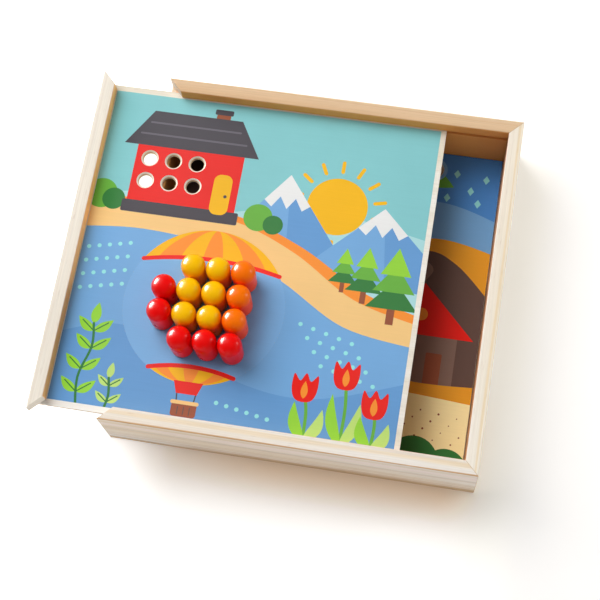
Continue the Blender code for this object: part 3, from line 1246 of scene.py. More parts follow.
@dataclass
class Picture:
    """Flat shapes of ink, laid one over the other on a sheet, which is then bored.

    Attributes:
        width: Width of the print in millimetres.
        height: Height of the print in millimetres.
        ground: Ink of the bare sheet.
        layers: The shapes that are laid on it, from the lowest.
        bores: Where the ink is taken away.
    """

    width: float
    height: float
    ground: Ink
    layers: list[tuple[Ink, Outline]] = field(default_factory=list)
    bores: list[Outline] = field(default_factory=list)

    NEARNESS = 1e-5

    def lay(self, ink: Ink, outline: Outline, by: Point = (0.0, 0.0)) -> None:
        """Lays a shape, shifted by some way, over what is there."""
        self.layers.append((ink, [(x + by[0], y + by[1]) for x, y in outline]))

    def bore(self, centre: Point, radius: float) -> None:
        """Takes the ink away round a peg hole."""
        self.bores.append(Draw.disc(centre, radius))

    @staticmethod
    def anticlockwise(outline: Outline) -> Outline:
        """Turns an outline the way that the triangulation needs.

        Args:
            outline: The outline, either way round.

        Returns:
            The same outline, anticlockwise.
        """
        shifted = outline[1:] + outline[:1]
        area = sum(a[0] * b[1] - b[0] * a[1] for a, b in zip(outline, shifted))
        return outline if area > 0 else outline[::-1]

    def film(self, name: str, corner: Vector, thickness: float, finish: Material) -> Object:
        """Makes the print as one thin closed sheet, cut along the edges of its shapes.

        Args:
            name: Name of the piece.
            corner: Front left corner of the print on the board.
            thickness: Thickness of the sheet in metres.
            finish: Its material, which reads the ink layer.

        Returns:
            The piece.
        """
        sheet = Draw.panel((0.0, 0.0), (self.width, self.height))
        outlines = [sheet] + [outline for _, outline in self.layers] + self.bores
        inks = [self.ground] + [ink for ink, _ in self.layers]
        spots: list[Vector] = []
        rims: list[list[int]] = []
        for outline in outlines:
            turned = self.anticlockwise(outline)
            rims.append(list(range(len(spots), len(spots) + len(turned))))
            spots += [Vector(point) for point in turned]
        # Each triangle that comes back names the outlines that it lies in
        cut = delaunay_2d_cdt(spots, [], rims, 1, self.NEARNESS)
        places, faces, origins = cut[0], cut[2], cut[5]
        work = bmesh.new()
        layer = work.loops.layers.float_color.new(INK_LAYER)
        lift = Vector((0.0, 0.0, thickness))
        low = [work.verts.new(corner + Vector((p[0], p[1], 0.0)) * MM) for p in places]
        high = [work.verts.new(vert.co + lift) for vert in low]
        for rim, over in zip(faces, origins):
            if 0 not in over or max(over) >= len(inks):
                continue
            colour = linear(inks[max(over)].value)
            top = work.faces.new([high[i] for i in rim])
            under = work.faces.new([low[i] for i in reversed(rim)])
            for loop in list(top.loops) + list(under.loops):
                loop[layer] = colour
        twin = {vert: low[i] for i, vert in enumerate(high)}
        for edge in [edge for edge in work.edges if edge.is_boundary]:
            if edge.verts[0] not in twin:
                continue
            loop = edge.link_loops[0]
            first, second = loop.vert, loop.link_loop_next.vert
            wall = work.faces.new([second, first, twin[first], twin[second]])
            for corner_loop in wall.loops:
                corner_loop[layer] = loop[layer]
        bmesh.ops.delete(work, geom=[v for v in work.verts if not v.link_faces], context="VERTS")
        mesh = bpy.data.meshes.new(name)
        work.to_mesh(mesh)
        work.free()
        mesh.materials.append(finish)
        return put(name, mesh)


class Countryside:
    """The lid's picture: a balloon over blue hills, a red house, mountains, firs and tulips."""

    BALLOON_RISE = 4.7
    BALLOON_RADIUS = 55.0
    SHOULDER, WAIST = 33.0, -42.0
    SHOULDER_BOW, WAIST_BOW = 38.5, -38.0
    SUN = (169.0, 163.0)
    RAYS = 14
    DOT = 1.5
    RIDGE_SHARE = 0.12
    SNOW_TEETH = 6
    TOOTH_UP, TOOTH_DOWN = 4.0, -4.5
    GORE_STEPS, BAND_STEPS, BOW_STEPS = 32, 24, 12

    def __init__(self, picture: Picture, field_middle: Point, window_middle: Point) -> None:
        """Keeps the sheet and what the picture is drawn round.

        Args:
            picture: The sheet to draw on.
            field_middle: Middle of the pegs on it.
            window_middle: Middle of the open holes on it.
        """
        self.picture = picture
        self.field_middle = field_middle
        self.window_middle = window_middle

    def draw(self) -> None:
        """Draws the picture from the sky to the foreground."""
        self.land()
        self.house()
        self.firs()
        self.balloon()
        self.garden()

    def mountain(self, left: Point, peak: Point, right: Point, snow: float) -> None:
        """Draws a mountain with a shaded side and a white top.

        Args:
            left: Foot on the left.
            peak: Its top.
            right: Foot on the right.
            snow: How far down the white comes, as a share of its height.
        """
        top = Vector(peak)
        west = top.lerp(Vector(left), snow)
        east = top.lerp(Vector(right), snow)
        ridge = (peak[0] + (right[0] - peak[0]) * self.RIDGE_SHARE, right[1])
        self.picture.lay(Ink.BLUE, [left, right, peak])
        self.picture.lay(Ink.DEEP_BLUE, [ridge, right, peak])
        teeth = [tuple(west)]
        for step in range(1, self.SNOW_TEETH):
            spot = west.lerp(east, step / self.SNOW_TEETH)
            tooth = self.TOOTH_UP if step % 2 == 0 else self.TOOTH_DOWN
            teeth.append((spot.x, spot.y + tooth))
        self.picture.lay(Ink.WHITE, teeth + [tuple(east), peak])

    def dot(self, x: float, y: float) -> None:
        """Draws a plant in a field."""
        self.picture.lay(Ink.AQUA, Draw.disc((x, y), self.DOT, 16))

    def land(self) -> None:
        """Draws the sky, the sun, the mountains, the sand and the blue hills."""
        lay = self.picture.lay
        lay(Ink.HAZE, Draw.hill([(-6, 148), (40, 156), (90, 148), (150, 160), (236, 146)]))
        for ray in range(self.RAYS):
            turn = math.tau * (ray + 0.5) / self.RAYS
            ends = [Draw.polar(self.SUN, (reach, reach), turn) for reach in (26.0, 33.0)]
            lay(Ink.GOLD, Draw.stroke(ends, 2.6, 1))
        lay(Ink.GOLD, Draw.disc(self.SUN, 21.0))
        self.mountain((84, 116), (134, 182), (188, 112), 0.31)
        self.mountain((148, 112), (202, 166), (262, 108), 0.30)
        ridges = (
            (Ink.ORANGE, (-6, 149), (50, 150), (104, 146), (150, 130), (196, 104), (236, 92)),
            (Ink.SAND, (-6, 146), (50, 147), (102, 142), (146, 125), (190, 98), (236, 86)),
            (Ink.BLUE, (-6, 124), (40, 128), (96, 122), (140, 104), (186, 78), (236, 70)),
            (Ink.DEEP_BLUE, (-6, 46), (34, 58), (76, 50), (124, 30), (174, 26), (236, 46)),
        )
        for ink, *ridge in ridges:
            lay(ink, Draw.hill(ridge))
        for row in range(4):
            for plant in range(5):
                self.dot(5 + 7 * plant, 80 + 10 * row + 1.6 * plant)
                self.dot(158 + 9 * plant + 6 * row, 76 - 9 * row - 2.2 * plant)
        for plant in range(6):
            self.dot(112 + 7 * plant, 14 - 1.2 * plant)

    def house(self) -> None:
        """Draws the house whose round windows are the open peg holes."""
        by = self.window_middle
        lay = self.picture.lay
        for x, y, radius in ((-45, -22, 11), (-36, -25, 8), (66, -25, 10), (77, -29, 7)):
            lay(Ink.FIR if radius < 9 else Ink.LEAF, Draw.disc((x, y), radius), by)
        panels = (
            (Ink.BROWN, (24, 34), (34, 51), 0.0),
            (Ink.CHARCOAL, (22.5, 48), (35.5, 52), 0.8),
            (Ink.RED, (-27, -29), (49, 22), 0.0),
            (Ink.CHARCOAL, (-30, -33), (52, -24), 1.2),
            (Ink.GOLD, (31, -27), (44, 3), 5.0),
        )
        for ink, low, high, corner in panels:
            lay(ink, Draw.panel(low, high, corner), by)
        lay(Ink.CHARCOAL, Draw.disc((40.6, -13), 1.2, 16), by)
        lay(Ink.CHARCOAL, [(-37, 18), (59, 18), (43, 45), (-20, 45)], by)
        for height, start, end in ((27, -26.5, 48.5), (36, -21, 43)):
            lay(Ink.SLATE, Draw.stroke([(start, height), (end, height)], 1.4, 1), by)

    def firs(self) -> None:
        """Draws three fir trees on the right."""
        lay = self.picture.lay
        tiers = ((Ink.FIR, 8, 16, 27), (Ink.LEAF, 19, 13, 37), (Ink.LIME, 30, 9.5, 48))
        for x, y, size in ((196, 98, 0.8), (216, 86, 1.1), (181, 104, 0.62)):
            lay(Ink.BROWN, Draw.panel((-2.4 * size, -2), (2.4 * size, 12 * size)), (x, y))
            for ink, low, half, high in tiers:
                tier = [(-half * size, low * size), (half * size, low * size), (0, high * size)]
                lay(ink, tier, (x, y))

    def bow(self, edge: float, middle: float) -> Outline:
        """Draws a line across the balloon, bowed up in its middle.

        Args:
            edge: Its height at the balloon's sides.
            middle: Its height in the middle.

        Returns:
            The points from left to right, from the middle of the peg field.
        """
        half = math.sqrt(self.BALLOON_RADIUS**2 - (edge - self.BALLOON_RISE) ** 2)
        shares = [step / self.BOW_STEPS - 1 for step in range(2 * self.BOW_STEPS + 1)]
        return [(half * s, middle + (edge - middle) * s * s) for s in shares]

    def side(self, share: float, turns: Sequence[float]) -> Outline:
        """Draws an upright line of the balloon at a share of its width."""
        radii = (self.BALLOON_RADIUS * share, self.BALLOON_RADIUS)
        return [Draw.polar((0.0, self.BALLOON_RISE), radii, turn) for turn in turns]

    def balloon(self) -> None:
        """Draws the balloon round the peg field, with its basket."""
        by = self.field_middle
        lay = self.picture.lay
        rise, radius = self.BALLOON_RISE, self.BALLOON_RADIUS
        for x in (-1, 1):
            lay(Ink.CHARCOAL, Draw.stroke([(x * 7, -51), (x * 5.6, -64)], 0.9, 1), by)
        lay(Ink.GOLD, Draw.disc((0, rise), radius, 96), by)
        steps = range(self.GORE_STEPS + 1)
        turns = [math.pi * (step / self.GORE_STEPS - 0.5) for step in steps]
        for inner, outer in ((-0.82, -0.50), (-0.16, 0.16), (0.50, 0.82)):
            gore = self.side(outer, turns) + self.side(inner, turns[1:-1])[::-1]
            lay(Ink.ORANGE, gore, by)
        low = self.bow(self.WAIST, self.WAIST_BOW)
        high = self.bow(self.SHOULDER, self.SHOULDER_BOW)
        start = math.asin((self.WAIST - rise) / radius)
        end = math.asin((self.SHOULDER - rise) / radius)
        steps = range(1, self.BAND_STEPS)
        turns = [start + (end - start) * step / self.BAND_STEPS for step in steps]
        band = low + self.side(1.0, turns) + high[::-1] + self.side(-1.0, turns)[::-1]
        lay(Ink.PALE_BLUE, band, by)
        for line in (low, high):
            lay(Ink.RED, Draw.stroke(line[::3], 3.0, 3), by)
        lay(Ink.RED, [(-10, -48.5), (10, -48.5), (7, -57), (-7, -57)], by)
        lay(Ink.BROWN, Draw.panel((-8.5, -72.6), (8.5, -62.6), 2.0), by)
        lay(Ink.SAND, Draw.panel((-9.5, -64.2), (9.5, -61.6), 1.2), by)
        for x in (-4, 0, 4):
            lay(Ink.UMBER, Draw.stroke([(x, -71), (x, -66)], 0.7, 1), by)

    def sprig(self, stem: Sequence[Point], pairs: int, size: float, ink: Ink) -> None:
        """Draws a stem with pairs of leaves.

        Args:
            stem: The points that its stem passes.
            pairs: How many pairs of leaves it has.
            size: Length of a leaf.
            ink: Ink of the leaves.
        """
        lay = self.picture.lay
        line = Draw.curve(stem, steps=12)
        for pair in range(pairs):
            spot = Vector(line[int(len(line) * (pair + 0.9) / (pairs + 0.6))])
            for side in (-1, 1):
                tip = spot + Vector((side * size * 0.8, size * 0.62))
                rib = spot.lerp(tip, 0.74)
                lay(ink, Draw.leaf(tuple(spot), tuple(tip), size * 0.44, -side * size * 0.06))
                lay(Ink.FIR, Draw.stroke([tuple(spot), tuple(rib)], 0.8, 2))
        top = Vector(line[-1])
        lay(ink, Draw.leaf(tuple(top), tuple(top + Vector((1.0, size))), size * 0.46))
        lay(Ink.FIR, Draw.stroke(stem, 1.7))

    def tulip(self, foot: float, head: Point) -> None:
        """Draws a tulip that grows from the foot of the picture.

        Args:
            foot: Where it stands, across the picture.
            head: Middle of its flower.
        """
        lay = self.picture.lay
        halfway = ((foot + head[0]) / 2 + 1.5, head[1] / 2)
        lay(Ink.LEAF, Draw.stroke([(foot, -4), halfway, head], 2.2))
        lay(Ink.LIME, Draw.leaf((foot, -3), (foot - 9, head[1] * 0.72), 8, 3))
        lay(Ink.PALE_LIME, Draw.leaf((foot, -3), (foot + 10, head[1] * 0.62), 8, -3))
        teeth = [(-8, 10), (-3.6, 5.5), (0, 11), (3.6, 5.5), (8, 10)]
        cup = teeth + [(8.4, -1), (4.6, -8), (-4.6, -8), (-8.4, -1)]
        lay(Ink.RED, Draw.curve(cup, True, 5), head)
        lay(Ink.ORANGE, Draw.leaf((0, -6.5), (0, 5.5), 4.6), head)

    def garden(self) -> None:
        """Draws the sprigs on the left and the tulips on the right."""
        self.sprig([(20, -4), (17, 18), (22, 40), (20, 56)], 4, 15, Ink.LIME)
        self.sprig([(38, -4), (40, 8), (38, 20)], 2, 11, Ink.PALE_LIME)
        for foot, head in ((172, (168, 32)), (196, (194, 44)), (216, (215, 27))):
            self.tulip(foot, head)


class Vineyard:
    """The second board's picture: grapes over brown hills at dusk, with a red-roofed hut."""

    STEP_ACROSS, STEP_UP = 0.618034, 0.754878
    DOTS = 96

    def __init__(self, picture: Picture) -> None:
        """Keeps the sheet to draw on."""
        self.picture = picture

    def draw(self, grapes: Sequence[Point]) -> None:
        """Draws the picture from the sky to the foreground.

        Args:
            grapes: Middles of the holes on the sheet.
        """
        self.sky()
        self.hills()
        self.hut((188, 64))
        self.ground()
        self.bunch(grapes)

    def land(self, ink: Ink, *ridge: Point, end: float) -> None:
        """Draws the land under a ridge that runs out at a height on the right."""
        self.picture.lay(ink, Draw.hill([*ridge, (self.picture.width + 6, end)]))

    def sky(self) -> None:
        """Draws the evening sky with its moon and its stars."""
        lay = self.picture.lay
        self.land(Ink.BLUE, (-6, 176), (60, 190), (120, 178), (186, 192), end=180)
        lay(Ink.CREAM, Draw.disc((122, 204), 15))
        lay(Ink.NAVY, Draw.disc((129, 208), 12.5))
        stars = ((92, 218, 1.6), (97, 203, 1.2), (150, 216, 1.5), (161, 203, 1.1), (172, 218, 1.3))
        for x, y, radius in stars:
            lay(Ink.CREAM, Draw.disc((x, y), radius, 14))
        for x, y in ((188, 206), (199, 215), (210, 203), (220, 213), (194, 196), (216, 194)):
            lay(Ink.AQUA, [(x - 2.4, y), (x, y - 3.4), (x + 2.4, y), (x, y + 3.4)])

    def hills(self) -> None:
        """Draws the brown hills."""
        lay = self.picture.lay
        self.land(Ink.OCHRE, (-6, 206), (40, 222), (86, 190), (130, 150), (190, 164), end=156)
        slope = ((112, 136), (150, 140), (184, 154), (208, 146))
        self.land(Ink.UMBER, (-6, 194), (36, 212), (76, 188), *slope, end=120)
        lay(Ink.CLAY, Draw.curve([(150, 120), (176, 146), (192, 140), (176, 118), (160, 96)], True))
        lay(Ink.CLAY, Draw.curve([(24, 112), (46, 134), (60, 126), (50, 108), (34, 96)], True))

    def ground(self) -> None:
        """Draws the sandy foreground and its bushes."""
        lay = self.picture.lay
        self.land(Ink.OCHRE, (-6, 62), (60, 56), (130, 64), (190, 58), end=60)
        self.land(Ink.STRAW, (-6, 50), (70, 44), (150, 51), end=47)
        for dot in range(self.DOTS):
            # Steps of the golden ratio spread the dots evenly without a draw of chance
            x = (dot * self.STEP_ACROSS % 1) * (self.picture.width - 6) + 3
            y = (dot * self.STEP_UP % 1) * 38 + 4
            lay(Ink.BROWN, Draw.disc((x, y), 0.45 + 0.15 * (dot % 3), 10))
        left = ((26, 6, 17), (50, 2, 13), (8, 2, 12))
        right = ((196, 4, 17), (218, 0, 15), (178, -2, 11))
        for x, y, radius in left + right:
            lay(Ink.FIR if radius > 14 else Ink.LEAF, Draw.disc((x, y), radius))

    def hut(self, foot: Point) -> None:
        """Draws the hut.

        Args:
            foot: Middle of its wall, above the ground.
        """
        lay = self.picture.lay
        lay(Ink.CLAY, Draw.panel((-27, -14), (27, 34)), foot)
        lay(Ink.GOLD, Draw.panel((-14, 4), (-2, 18), 1.5), foot)
        lay(Ink.BROWN, Draw.panel((7, -14), (18, 16), 1.0), foot)
        lay(Ink.RED, [(-38, 28), (38, 28), (0, 66)], foot)
        lay(Ink.ORANGE, Draw.disc((0, 43), 4.6), foot)

    def bunch(self, grapes: Sequence[Point]) -> None:
        """Draws a grape round every hole and two leaves above them.

        Args:
            grapes: Middles of the holes on the sheet.
        """
        lay = self.picture.lay
        across = sum(x for x, _ in grapes) / len(grapes)
        top = max(y for _, y in grapes)
        for side in (-1, 1):
            tip = (across + side * 40, top - 12)
            lay(Ink.LEAF, Draw.leaf((across, top + 12), tip, 20, -side * 4))
            lay(Ink.FIR, Draw.stroke([(across, top + 11), (across + side * 30, top - 6)], 1.1, 2))
        for grape in grapes:
            lay(Ink.BLUE, Draw.disc(grape, 8.5))


def middle(spots: Iterable[Sequence[float]]) -> Point:
    """Gives the middle of the box round some points, in plan."""
    across, along = zip(*(tuple(spot)[:2] for spot in spots))
    return ((min(across) + max(across)) / 2, (min(along) + max(along)) / 2)


def holes(prefix: str) -> list[Point]:
    """Gives the middles of the record's openings whose names start so, in the CAD frame."""
    openings = frame["record"]["physics"]["openings"]
    return [middle(each["box_m"]) for each in openings if each["name"].startswith(prefix)]


def dress(node: str, finish: Finish) -> None:
    """Gives a CAD node a finish in every material slot.

    Args:
        node: Name of the node.
        finish: Its finish.
    """
    material = finish.material()
    for slot in frame["nodes"][node].material_slots:
        slot.material = material


@dataclass
class Pegs:
    """The ball pegs, turned afresh in smooth wood where the CAD pegs stand.

    Attributes:
        ball_radius: Radius of the ball.
        body_radius: Radius of the side at its foot.
        stem_radius: Radius of the stem in the hole.
        ball_height: Height of the ball's middle over its seat.
        foot_round: Radius of the foot's edge.
        tip_round: Chamfer of the stem's end.
        ball_rings: Rings over the ball.
        side_rings: Rings down the side.
        foot_rings: Rings round the foot's edge.
        sides: Corners of a ring.
        unevenness: How far a turned peg strays from its profile.
        turn_step: How much further each peg is turned than the one before it.
        seed_step: How far apart two pegs' unevenness is drawn.
    """

    ball_radius: float = 0.00824
    body_radius: float = 0.00775
    stem_radius: float = 0.0044
    ball_height: float = 0.0197
    foot_round: float = 0.0012
    tip_round: float = 0.0006
    ball_rings: int = 28
    side_rings: int = 5
    foot_rings: int = 6
    sides: int = 56
    unevenness: float = 0.00011
    turn_step: float = 0.7
    seed_step: float = 0.37

    def profile(self, seat: float, tip: float) -> list[Point]:
        """Gives the outline of a peg from the top of its ball to the end of its stem.

        Args:
            seat: Height of its seat on the lid.
            tip: Height of its stem's end.

        Returns:
            Radius and height of each ring.
        """
        # The side is the tangent from the foot's round to the ball
        drop = self.ball_height - self.foot_round
        reach = math.hypot(self.body_radius, drop)
        meet = math.acos(self.ball_radius / reach) - math.atan2(drop, self.body_radius)
        rings = []
        for ring in range(self.ball_rings + 1):
            angle = math.pi / 2 + (meet - math.pi / 2) * ring / self.ball_rings
            radius = self.ball_radius * math.cos(angle) if ring else 0.0
            rings.append((radius, seat + self.ball_height + self.ball_radius * math.sin(angle)))
        start, end = Vector(rings[-1]), Vector((self.body_radius, seat + self.foot_round))
        for ring in range(1, self.side_rings):
            rings.append(tuple(start.lerp(end, ring / self.side_rings)))
        for ring in range(self.foot_rings + 1):
            angle = math.pi / 2 * ring / self.foot_rings
            inset = self.foot_round * (1 - math.cos(angle))
            rings.append((self.body_radius - inset, seat + self.foot_round * (1 - math.sin(angle))))
        return rings + [
            (self.stem_radius, seat),
            (self.stem_radius, tip + self.tip_round),
            (self.stem_radius - self.tip_round, tip),
            (0.0, tip),
        ]

    def build(self) -> list[Object]:
        """Turns every peg in its own colour and puts it on its own body.

        Returns:
            The pegs.
        """
        pegs = []
        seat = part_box("lid_end_rail")[0].z
        crown = seat + self.ball_height + self.ball_radius
        for colour in PegColour:
            slot, tint = colour.value
            finish = LacquerFinish(slot, colour=tint, top=crown).material()
            stem = colour.name.lower() + "_peg_"
            for node in sorted(name for name in frame["nodes"] if name.startswith(stem)):
                low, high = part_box(node)
                profile = [(radius, 0.0, height) for radius, height in self.profile(seat, low.z)]
                settings = {
                    "Sides": self.sides,
                    "Place": middle((low, high)) + (0.0,),
                    "Turn": self.turn_step * len(pegs),
                    "Unevenness": self.unevenness,
                    "Seed": self.seed_step * len(pegs),
                }
                piece = LATHE.run(node + "_turned", profile, finish, settings)
                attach(piece, node)
                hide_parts(node)
                pegs.append(piece)
        return pegs


@dataclass
class DrilledBoard:
    """A printed plywood board with countersunk peg holes, in the place of its CAD node.

    Attributes:
        node: The CAD node that it stands for.
        body: The body that it rides on.
        bore: Diameter of a peg hole.
        mouth: Diameter of a hole at the board's top.
        film: Thickness of the print.
        film_gap: How far the print lies over the board.
        bare_rim: Width of the bare wood round a hole's mouth, in millimetres.
        sides: Corners of a hole's rim.
    """

    node: str
    body: str
    bore: float = 0.0094
    mouth: float = 0.0121
    film: float = 0.00005
    film_gap: float = 0.00001
    bare_rim: float = 0.05
    sides: int = 48

    def build(
        self,
        places: Sequence[Point],
        corner: Point,
        size: Point,
        ground: Ink,
        draw: Callable[[Picture, list[Point]], None],
    ) -> list[Object]:
        """Makes the board and its picture.

        Args:
            places: Middles of the holes in the CAD frame.
            corner: Front left corner of the print in the CAD frame.
            size: Width and height of the print.
            ground: Ink of its bare sheet.
            draw: Draws on the sheet, given the middles of the holes on it.

        Returns:
            The board and its print.
        """
        picture = Picture(size[0] / MM, size[1] / MM, ground)
        spots = [((x - corner[0]) / MM, (y - corner[1]) / MM) for x, y in places]
        draw(picture, spots)
        for spot in spots:
            picture.bore(spot, self.mouth / 2 / MM + self.bare_rim)
        return [self.build_board(places), self.build_print(picture, corner)]

    def build_board(self, places: Sequence[Point]) -> Object:
        """Saws, drills and countersinks the board.

        Args:
            places: Middles of the holes in the CAD frame.

        Returns:
            The board.
        """
        low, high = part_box(self.node)
        size, centre = high - low, (low + high) / 2
        finish = PlywoodFinish(self.node + "_plywood", underside=low.z, thickness=size.z).material()
        drills = [(x, y, (low.z + high.z) / 2) for x, y in places]
        settings = {
            "Size": tuple(size),
            "Centre": tuple(centre),
            "Bore": self.bore,
            "Mouth": self.mouth,
            "Sides": self.sides,
        }
        board = DRILL_PRESS.run(self.node + "_drilled", drills, finish, settings)
        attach(board, self.body)
        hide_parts(self.node)
        return board

    def build_print(self, picture: Picture, corner: Point) -> Object:
        """Lays the picture on the board.

        Args:
            picture: The drawn and bored picture.
            corner: Front left corner of the print in the CAD frame.

        Returns:
            The print.
        """
        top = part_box(self.node)[1].z + self.film_gap
        finish = InkFinish(self.node + "_ink").material()
        sheet = picture.film(self.node + "_print", Vector((*corner, top)), self.film, finish)
        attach(sheet, self.body)
        return sheet


@dataclass
class Lid:
    """The sliding lid: drilled board, its picture and the end rail glued on it.

    Attributes:
        end_margin: Bare wood between the end rail and the print.
        side_margin: Bare wood at the sides of the print.
        nose_margin: Bare wood at the edge that goes into the box first.
    """

    end_margin: float = 0.0005
    side_margin: float = 0.0042
    nose_margin: float = 0.0037

    def build(self) -> list[Object]:
        """Makes the lid's pieces and dresses its end rail.

        Returns:
            The new pieces.
        """
        pegs = [middle(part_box(node)) for node in frame["nodes"] if "_peg_" in node]
        low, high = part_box("lid_board")
        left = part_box("lid_end_rail")[1].x + self.end_margin
        front = low.y + self.side_margin
        size = (high.x - self.nose_margin - left, high.y - self.side_margin - front)

        def draw(picture: Picture, spots: list[Point]) -> None:
            """Draws the balloon round the pegs and the house round the open holes."""
            field_middle, window_middle = middle(spots[: len(pegs)]), middle(spots[len(pegs) :])
            Countryside(picture, field_middle, window_middle).draw()

        board = DrilledBoard("lid_board", "lid")
        places = pegs + holes("lid_hole_")
        pieces = board.build(places, (left, front), size, Ink.TURQUOISE, draw)
        rail = PineFinish(
            "end_rail_pine",
            grain=Grain.ALONG_Y,
            pith=(118.0, 92.0),
            early=(236, 227, 212),
            warm=(231, 214, 188),
            # Golden painted shade on its face that looks into the box
            inner_shade=(250, 184, 96),
            contrast=0.30,
            inner_shade_from=0.1634,
        )
        dress("lid_end_rail", rail)
        return pieces


@dataclass
class StoredBoard:
    """The second picture board, which lies loose on the base.

    Attributes:
        margin: Bare wood round the print.
    """

    margin: float = 0.0001

    def build(self) -> list[Object]:
        """Makes the board and its picture.

        Returns:
            The new pieces.
        """
        low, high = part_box("stored_board")
        corner = (low.x + self.margin, low.y + self.margin)
        size = (high.x - low.x - 2 * self.margin, high.y - low.y - 2 * self.margin)

        def draw(picture: Picture, spots: list[Point]) -> None:
            """Draws a grape at every hole."""
            Vineyard(picture).draw(spots)

        board = DrilledBoard("stored_board", "stored_board")
        return board.build(holes("stored_hole_"), corner, size, Ink.NAVY, draw)


@dataclass
class Box:
    """The mitred pine frame and its plywood base, which keep their CAD shapes.

    Attributes:
        glue_width: Thickness of the glue in a mitre.
        glue_back: How far the glue stays behind the faces of the wood.
        glue_corner: Chamfer of the glue's upper corners.
        glue_groove: How far over the lid the glue begins again.
    """

    glue_width: float = 0.00026
    glue_back: float = 0.00015
    glue_corner: float = 0.0008
    glue_groove: float = 0.0006

    def dress_rails(self) -> None:
        """Gives each rail wood from its own part of a trunk."""
        rails = {
            "front_rail": PineFinish(
                "front_rail_pine",
                pith=(-88.0, -34.0),
                ring_width=4.0,
                early=(242, 234, 224),
                streaks=(
                    Streak(-125.0, 53.0, 1.5, 0.85, (212, 160, 96)),
                    Streak(-119.0, 53.5, 2.6, 0.50, (240, 214, 166)),
                    # Tan band along the foot of the front face, darker towards the bottom
                    Streak(-125.0, 1.0, 14.0, 0.75, (204, 164, 114)),
                    # Pale lilac band on the upper front face: painted light, the cool light that
                    # falls on that face
                    Streak(-125.0, 42.0, 7.0, 0.55, (250, 234, 230)),
                    Streak(-125.0, 33.0, 2.2, 0.35, (196, 178, 162)),
                ),
            ),
            "back_rail": PineFinish(
                "back_rail_pine",
                pith=(160.0, -20.0),
                early=(228, 198, 162),
                warm=(222, 186, 146),
                late=(200, 150, 100),
                # Near white: painted light on the back rail's mitre face, where light from the left
                # falls
                mitre_tone_and_light=(255, 250, 244),
                contrast=0.45,
            ),
            "right_rail": PineFinish(
                "right_rail_pine",
                grain=Grain.ALONG_Y,
                pith=(-150.0, 110.0),
                early=(247, 240, 228),
                warm=(243, 230, 210),
                # Darker painted shade on its face that looks into the box
                inner_shade=(196, 122, 52),
                contrast=0.26,
                streaks=(Streak(-122.6, 53.5, 1.6, 0.6, (238, 212, 164)),),
            ),
            "low_left_rail": PineFinish(
                "low_left_rail_pine",
                grain=Grain.ALONG_Y,
                pith=(80.0, -60.0),
                early=(233, 217, 192),
                warm=(226, 202, 166),
                late=(205, 166, 120),
            ),
        }
        for node, finish in rails.items():
            dress(node, finish)
            LOG.info("dressed %s", node)

    def dress_base(self) -> None:
        """Gives the base panel its plywood."""
        low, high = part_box("base_panel")
        finish = PlywoodFinish("base_plywood", underside=low.z, thickness=high.z - low.z)
        dress("base_panel", finish)
        LOG.info("dressed base_panel")

    def build_glue(self) -> Object:
        """Fills the mitres with dried glue, a little back from the faces of the wood.

        Returns:
            The glue.
        """
        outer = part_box("right_rail")[1]
        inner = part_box("right_rail")[0].x + self.glue_back
        edge = outer.x - self.glue_back
        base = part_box("base_panel")[1].z
        lid_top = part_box("lid_board")[1].z
        low_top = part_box("low_left_rail")[1].z - self.glue_back
        walls = ((base + MM, low_top), (lid_top + self.glue_groove, outer.z - self.glue_back))
        work = bmesh.new()
        for side_x, side_y, count in ((1, 1, 2), (1, -1, 2), (-1, 1, 1), (-1, -1, 1)):
            normal = Vector((side_x, -side_y, 0.0)).normalized() * self.glue_width / 2
            for low, high in walls[:count]:
                cut = min(self.glue_corner, (high - low) / 4)
                rim = [
                    (inner, low),
                    (edge, low),
                    (edge, high - cut),
                    (edge - cut, high),
                    (inner + cut, high),
                    (inner, high - cut),
                ]
                spots = [Vector((side_x * reach, side_y * reach, height)) for reach, height in rim]
                front = [work.verts.new(spot + normal) for spot in spots]
                back = [work.verts.new(spot - normal) for spot in spots]
                work.faces.new(front)
                work.faces.new(back[::-1])
                for index in range(len(rim)):
                    after = (index + 1) % len(rim)
                    work.faces.new((front[index], back[index], back[after], front[after]))
        mesh = bpy.data.meshes.new("mitre_glue")
        work.to_mesh(mesh)
        work.free()
        tint = PineFinish(
            "mitre_glue",
            early=(214, 186, 146),
            warm=(206, 174, 130),
            mitre_tone_and_light=(210, 180, 138),
            inner_shade_from=0.0,
            groove_reach=0.0,
        )
        glue = finished_piece("mitre_glue", mesh, tint.material())
        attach(glue, "box")
        return glue


@dataclass(frozen=True)
class Lamp:
    """A square soft light that faces the object.

    Attributes:
        name: Name of the light.
        toward: Direction from the object to the light.
        distance: How far away it hangs.
        size: Its side.
        power: Its power in watts.
        gloss: Whether it shows in glossy surfaces.
        body: Whether it lights the colour of surfaces.
    """

    name: str
    toward: Spot
    distance: float
    size: float
    power: float
    gloss: bool = True
    body: bool = True

    def hang(self) -> None:
        """Hangs the light in its place."""
        data = bpy.data.lights.new(self.name, "AREA")
        data.size = self.size
        data.energy = self.power
        lamp = put(self.name, data)
        lamp.visible_glossy = self.gloss
        lamp.visible_diffuse = self.body
        way = Vector(self.toward).normalized()
        lamp.location = way * self.distance
        lamp.rotation_euler = way.to_track_quat("Z", "Y").to_euler()


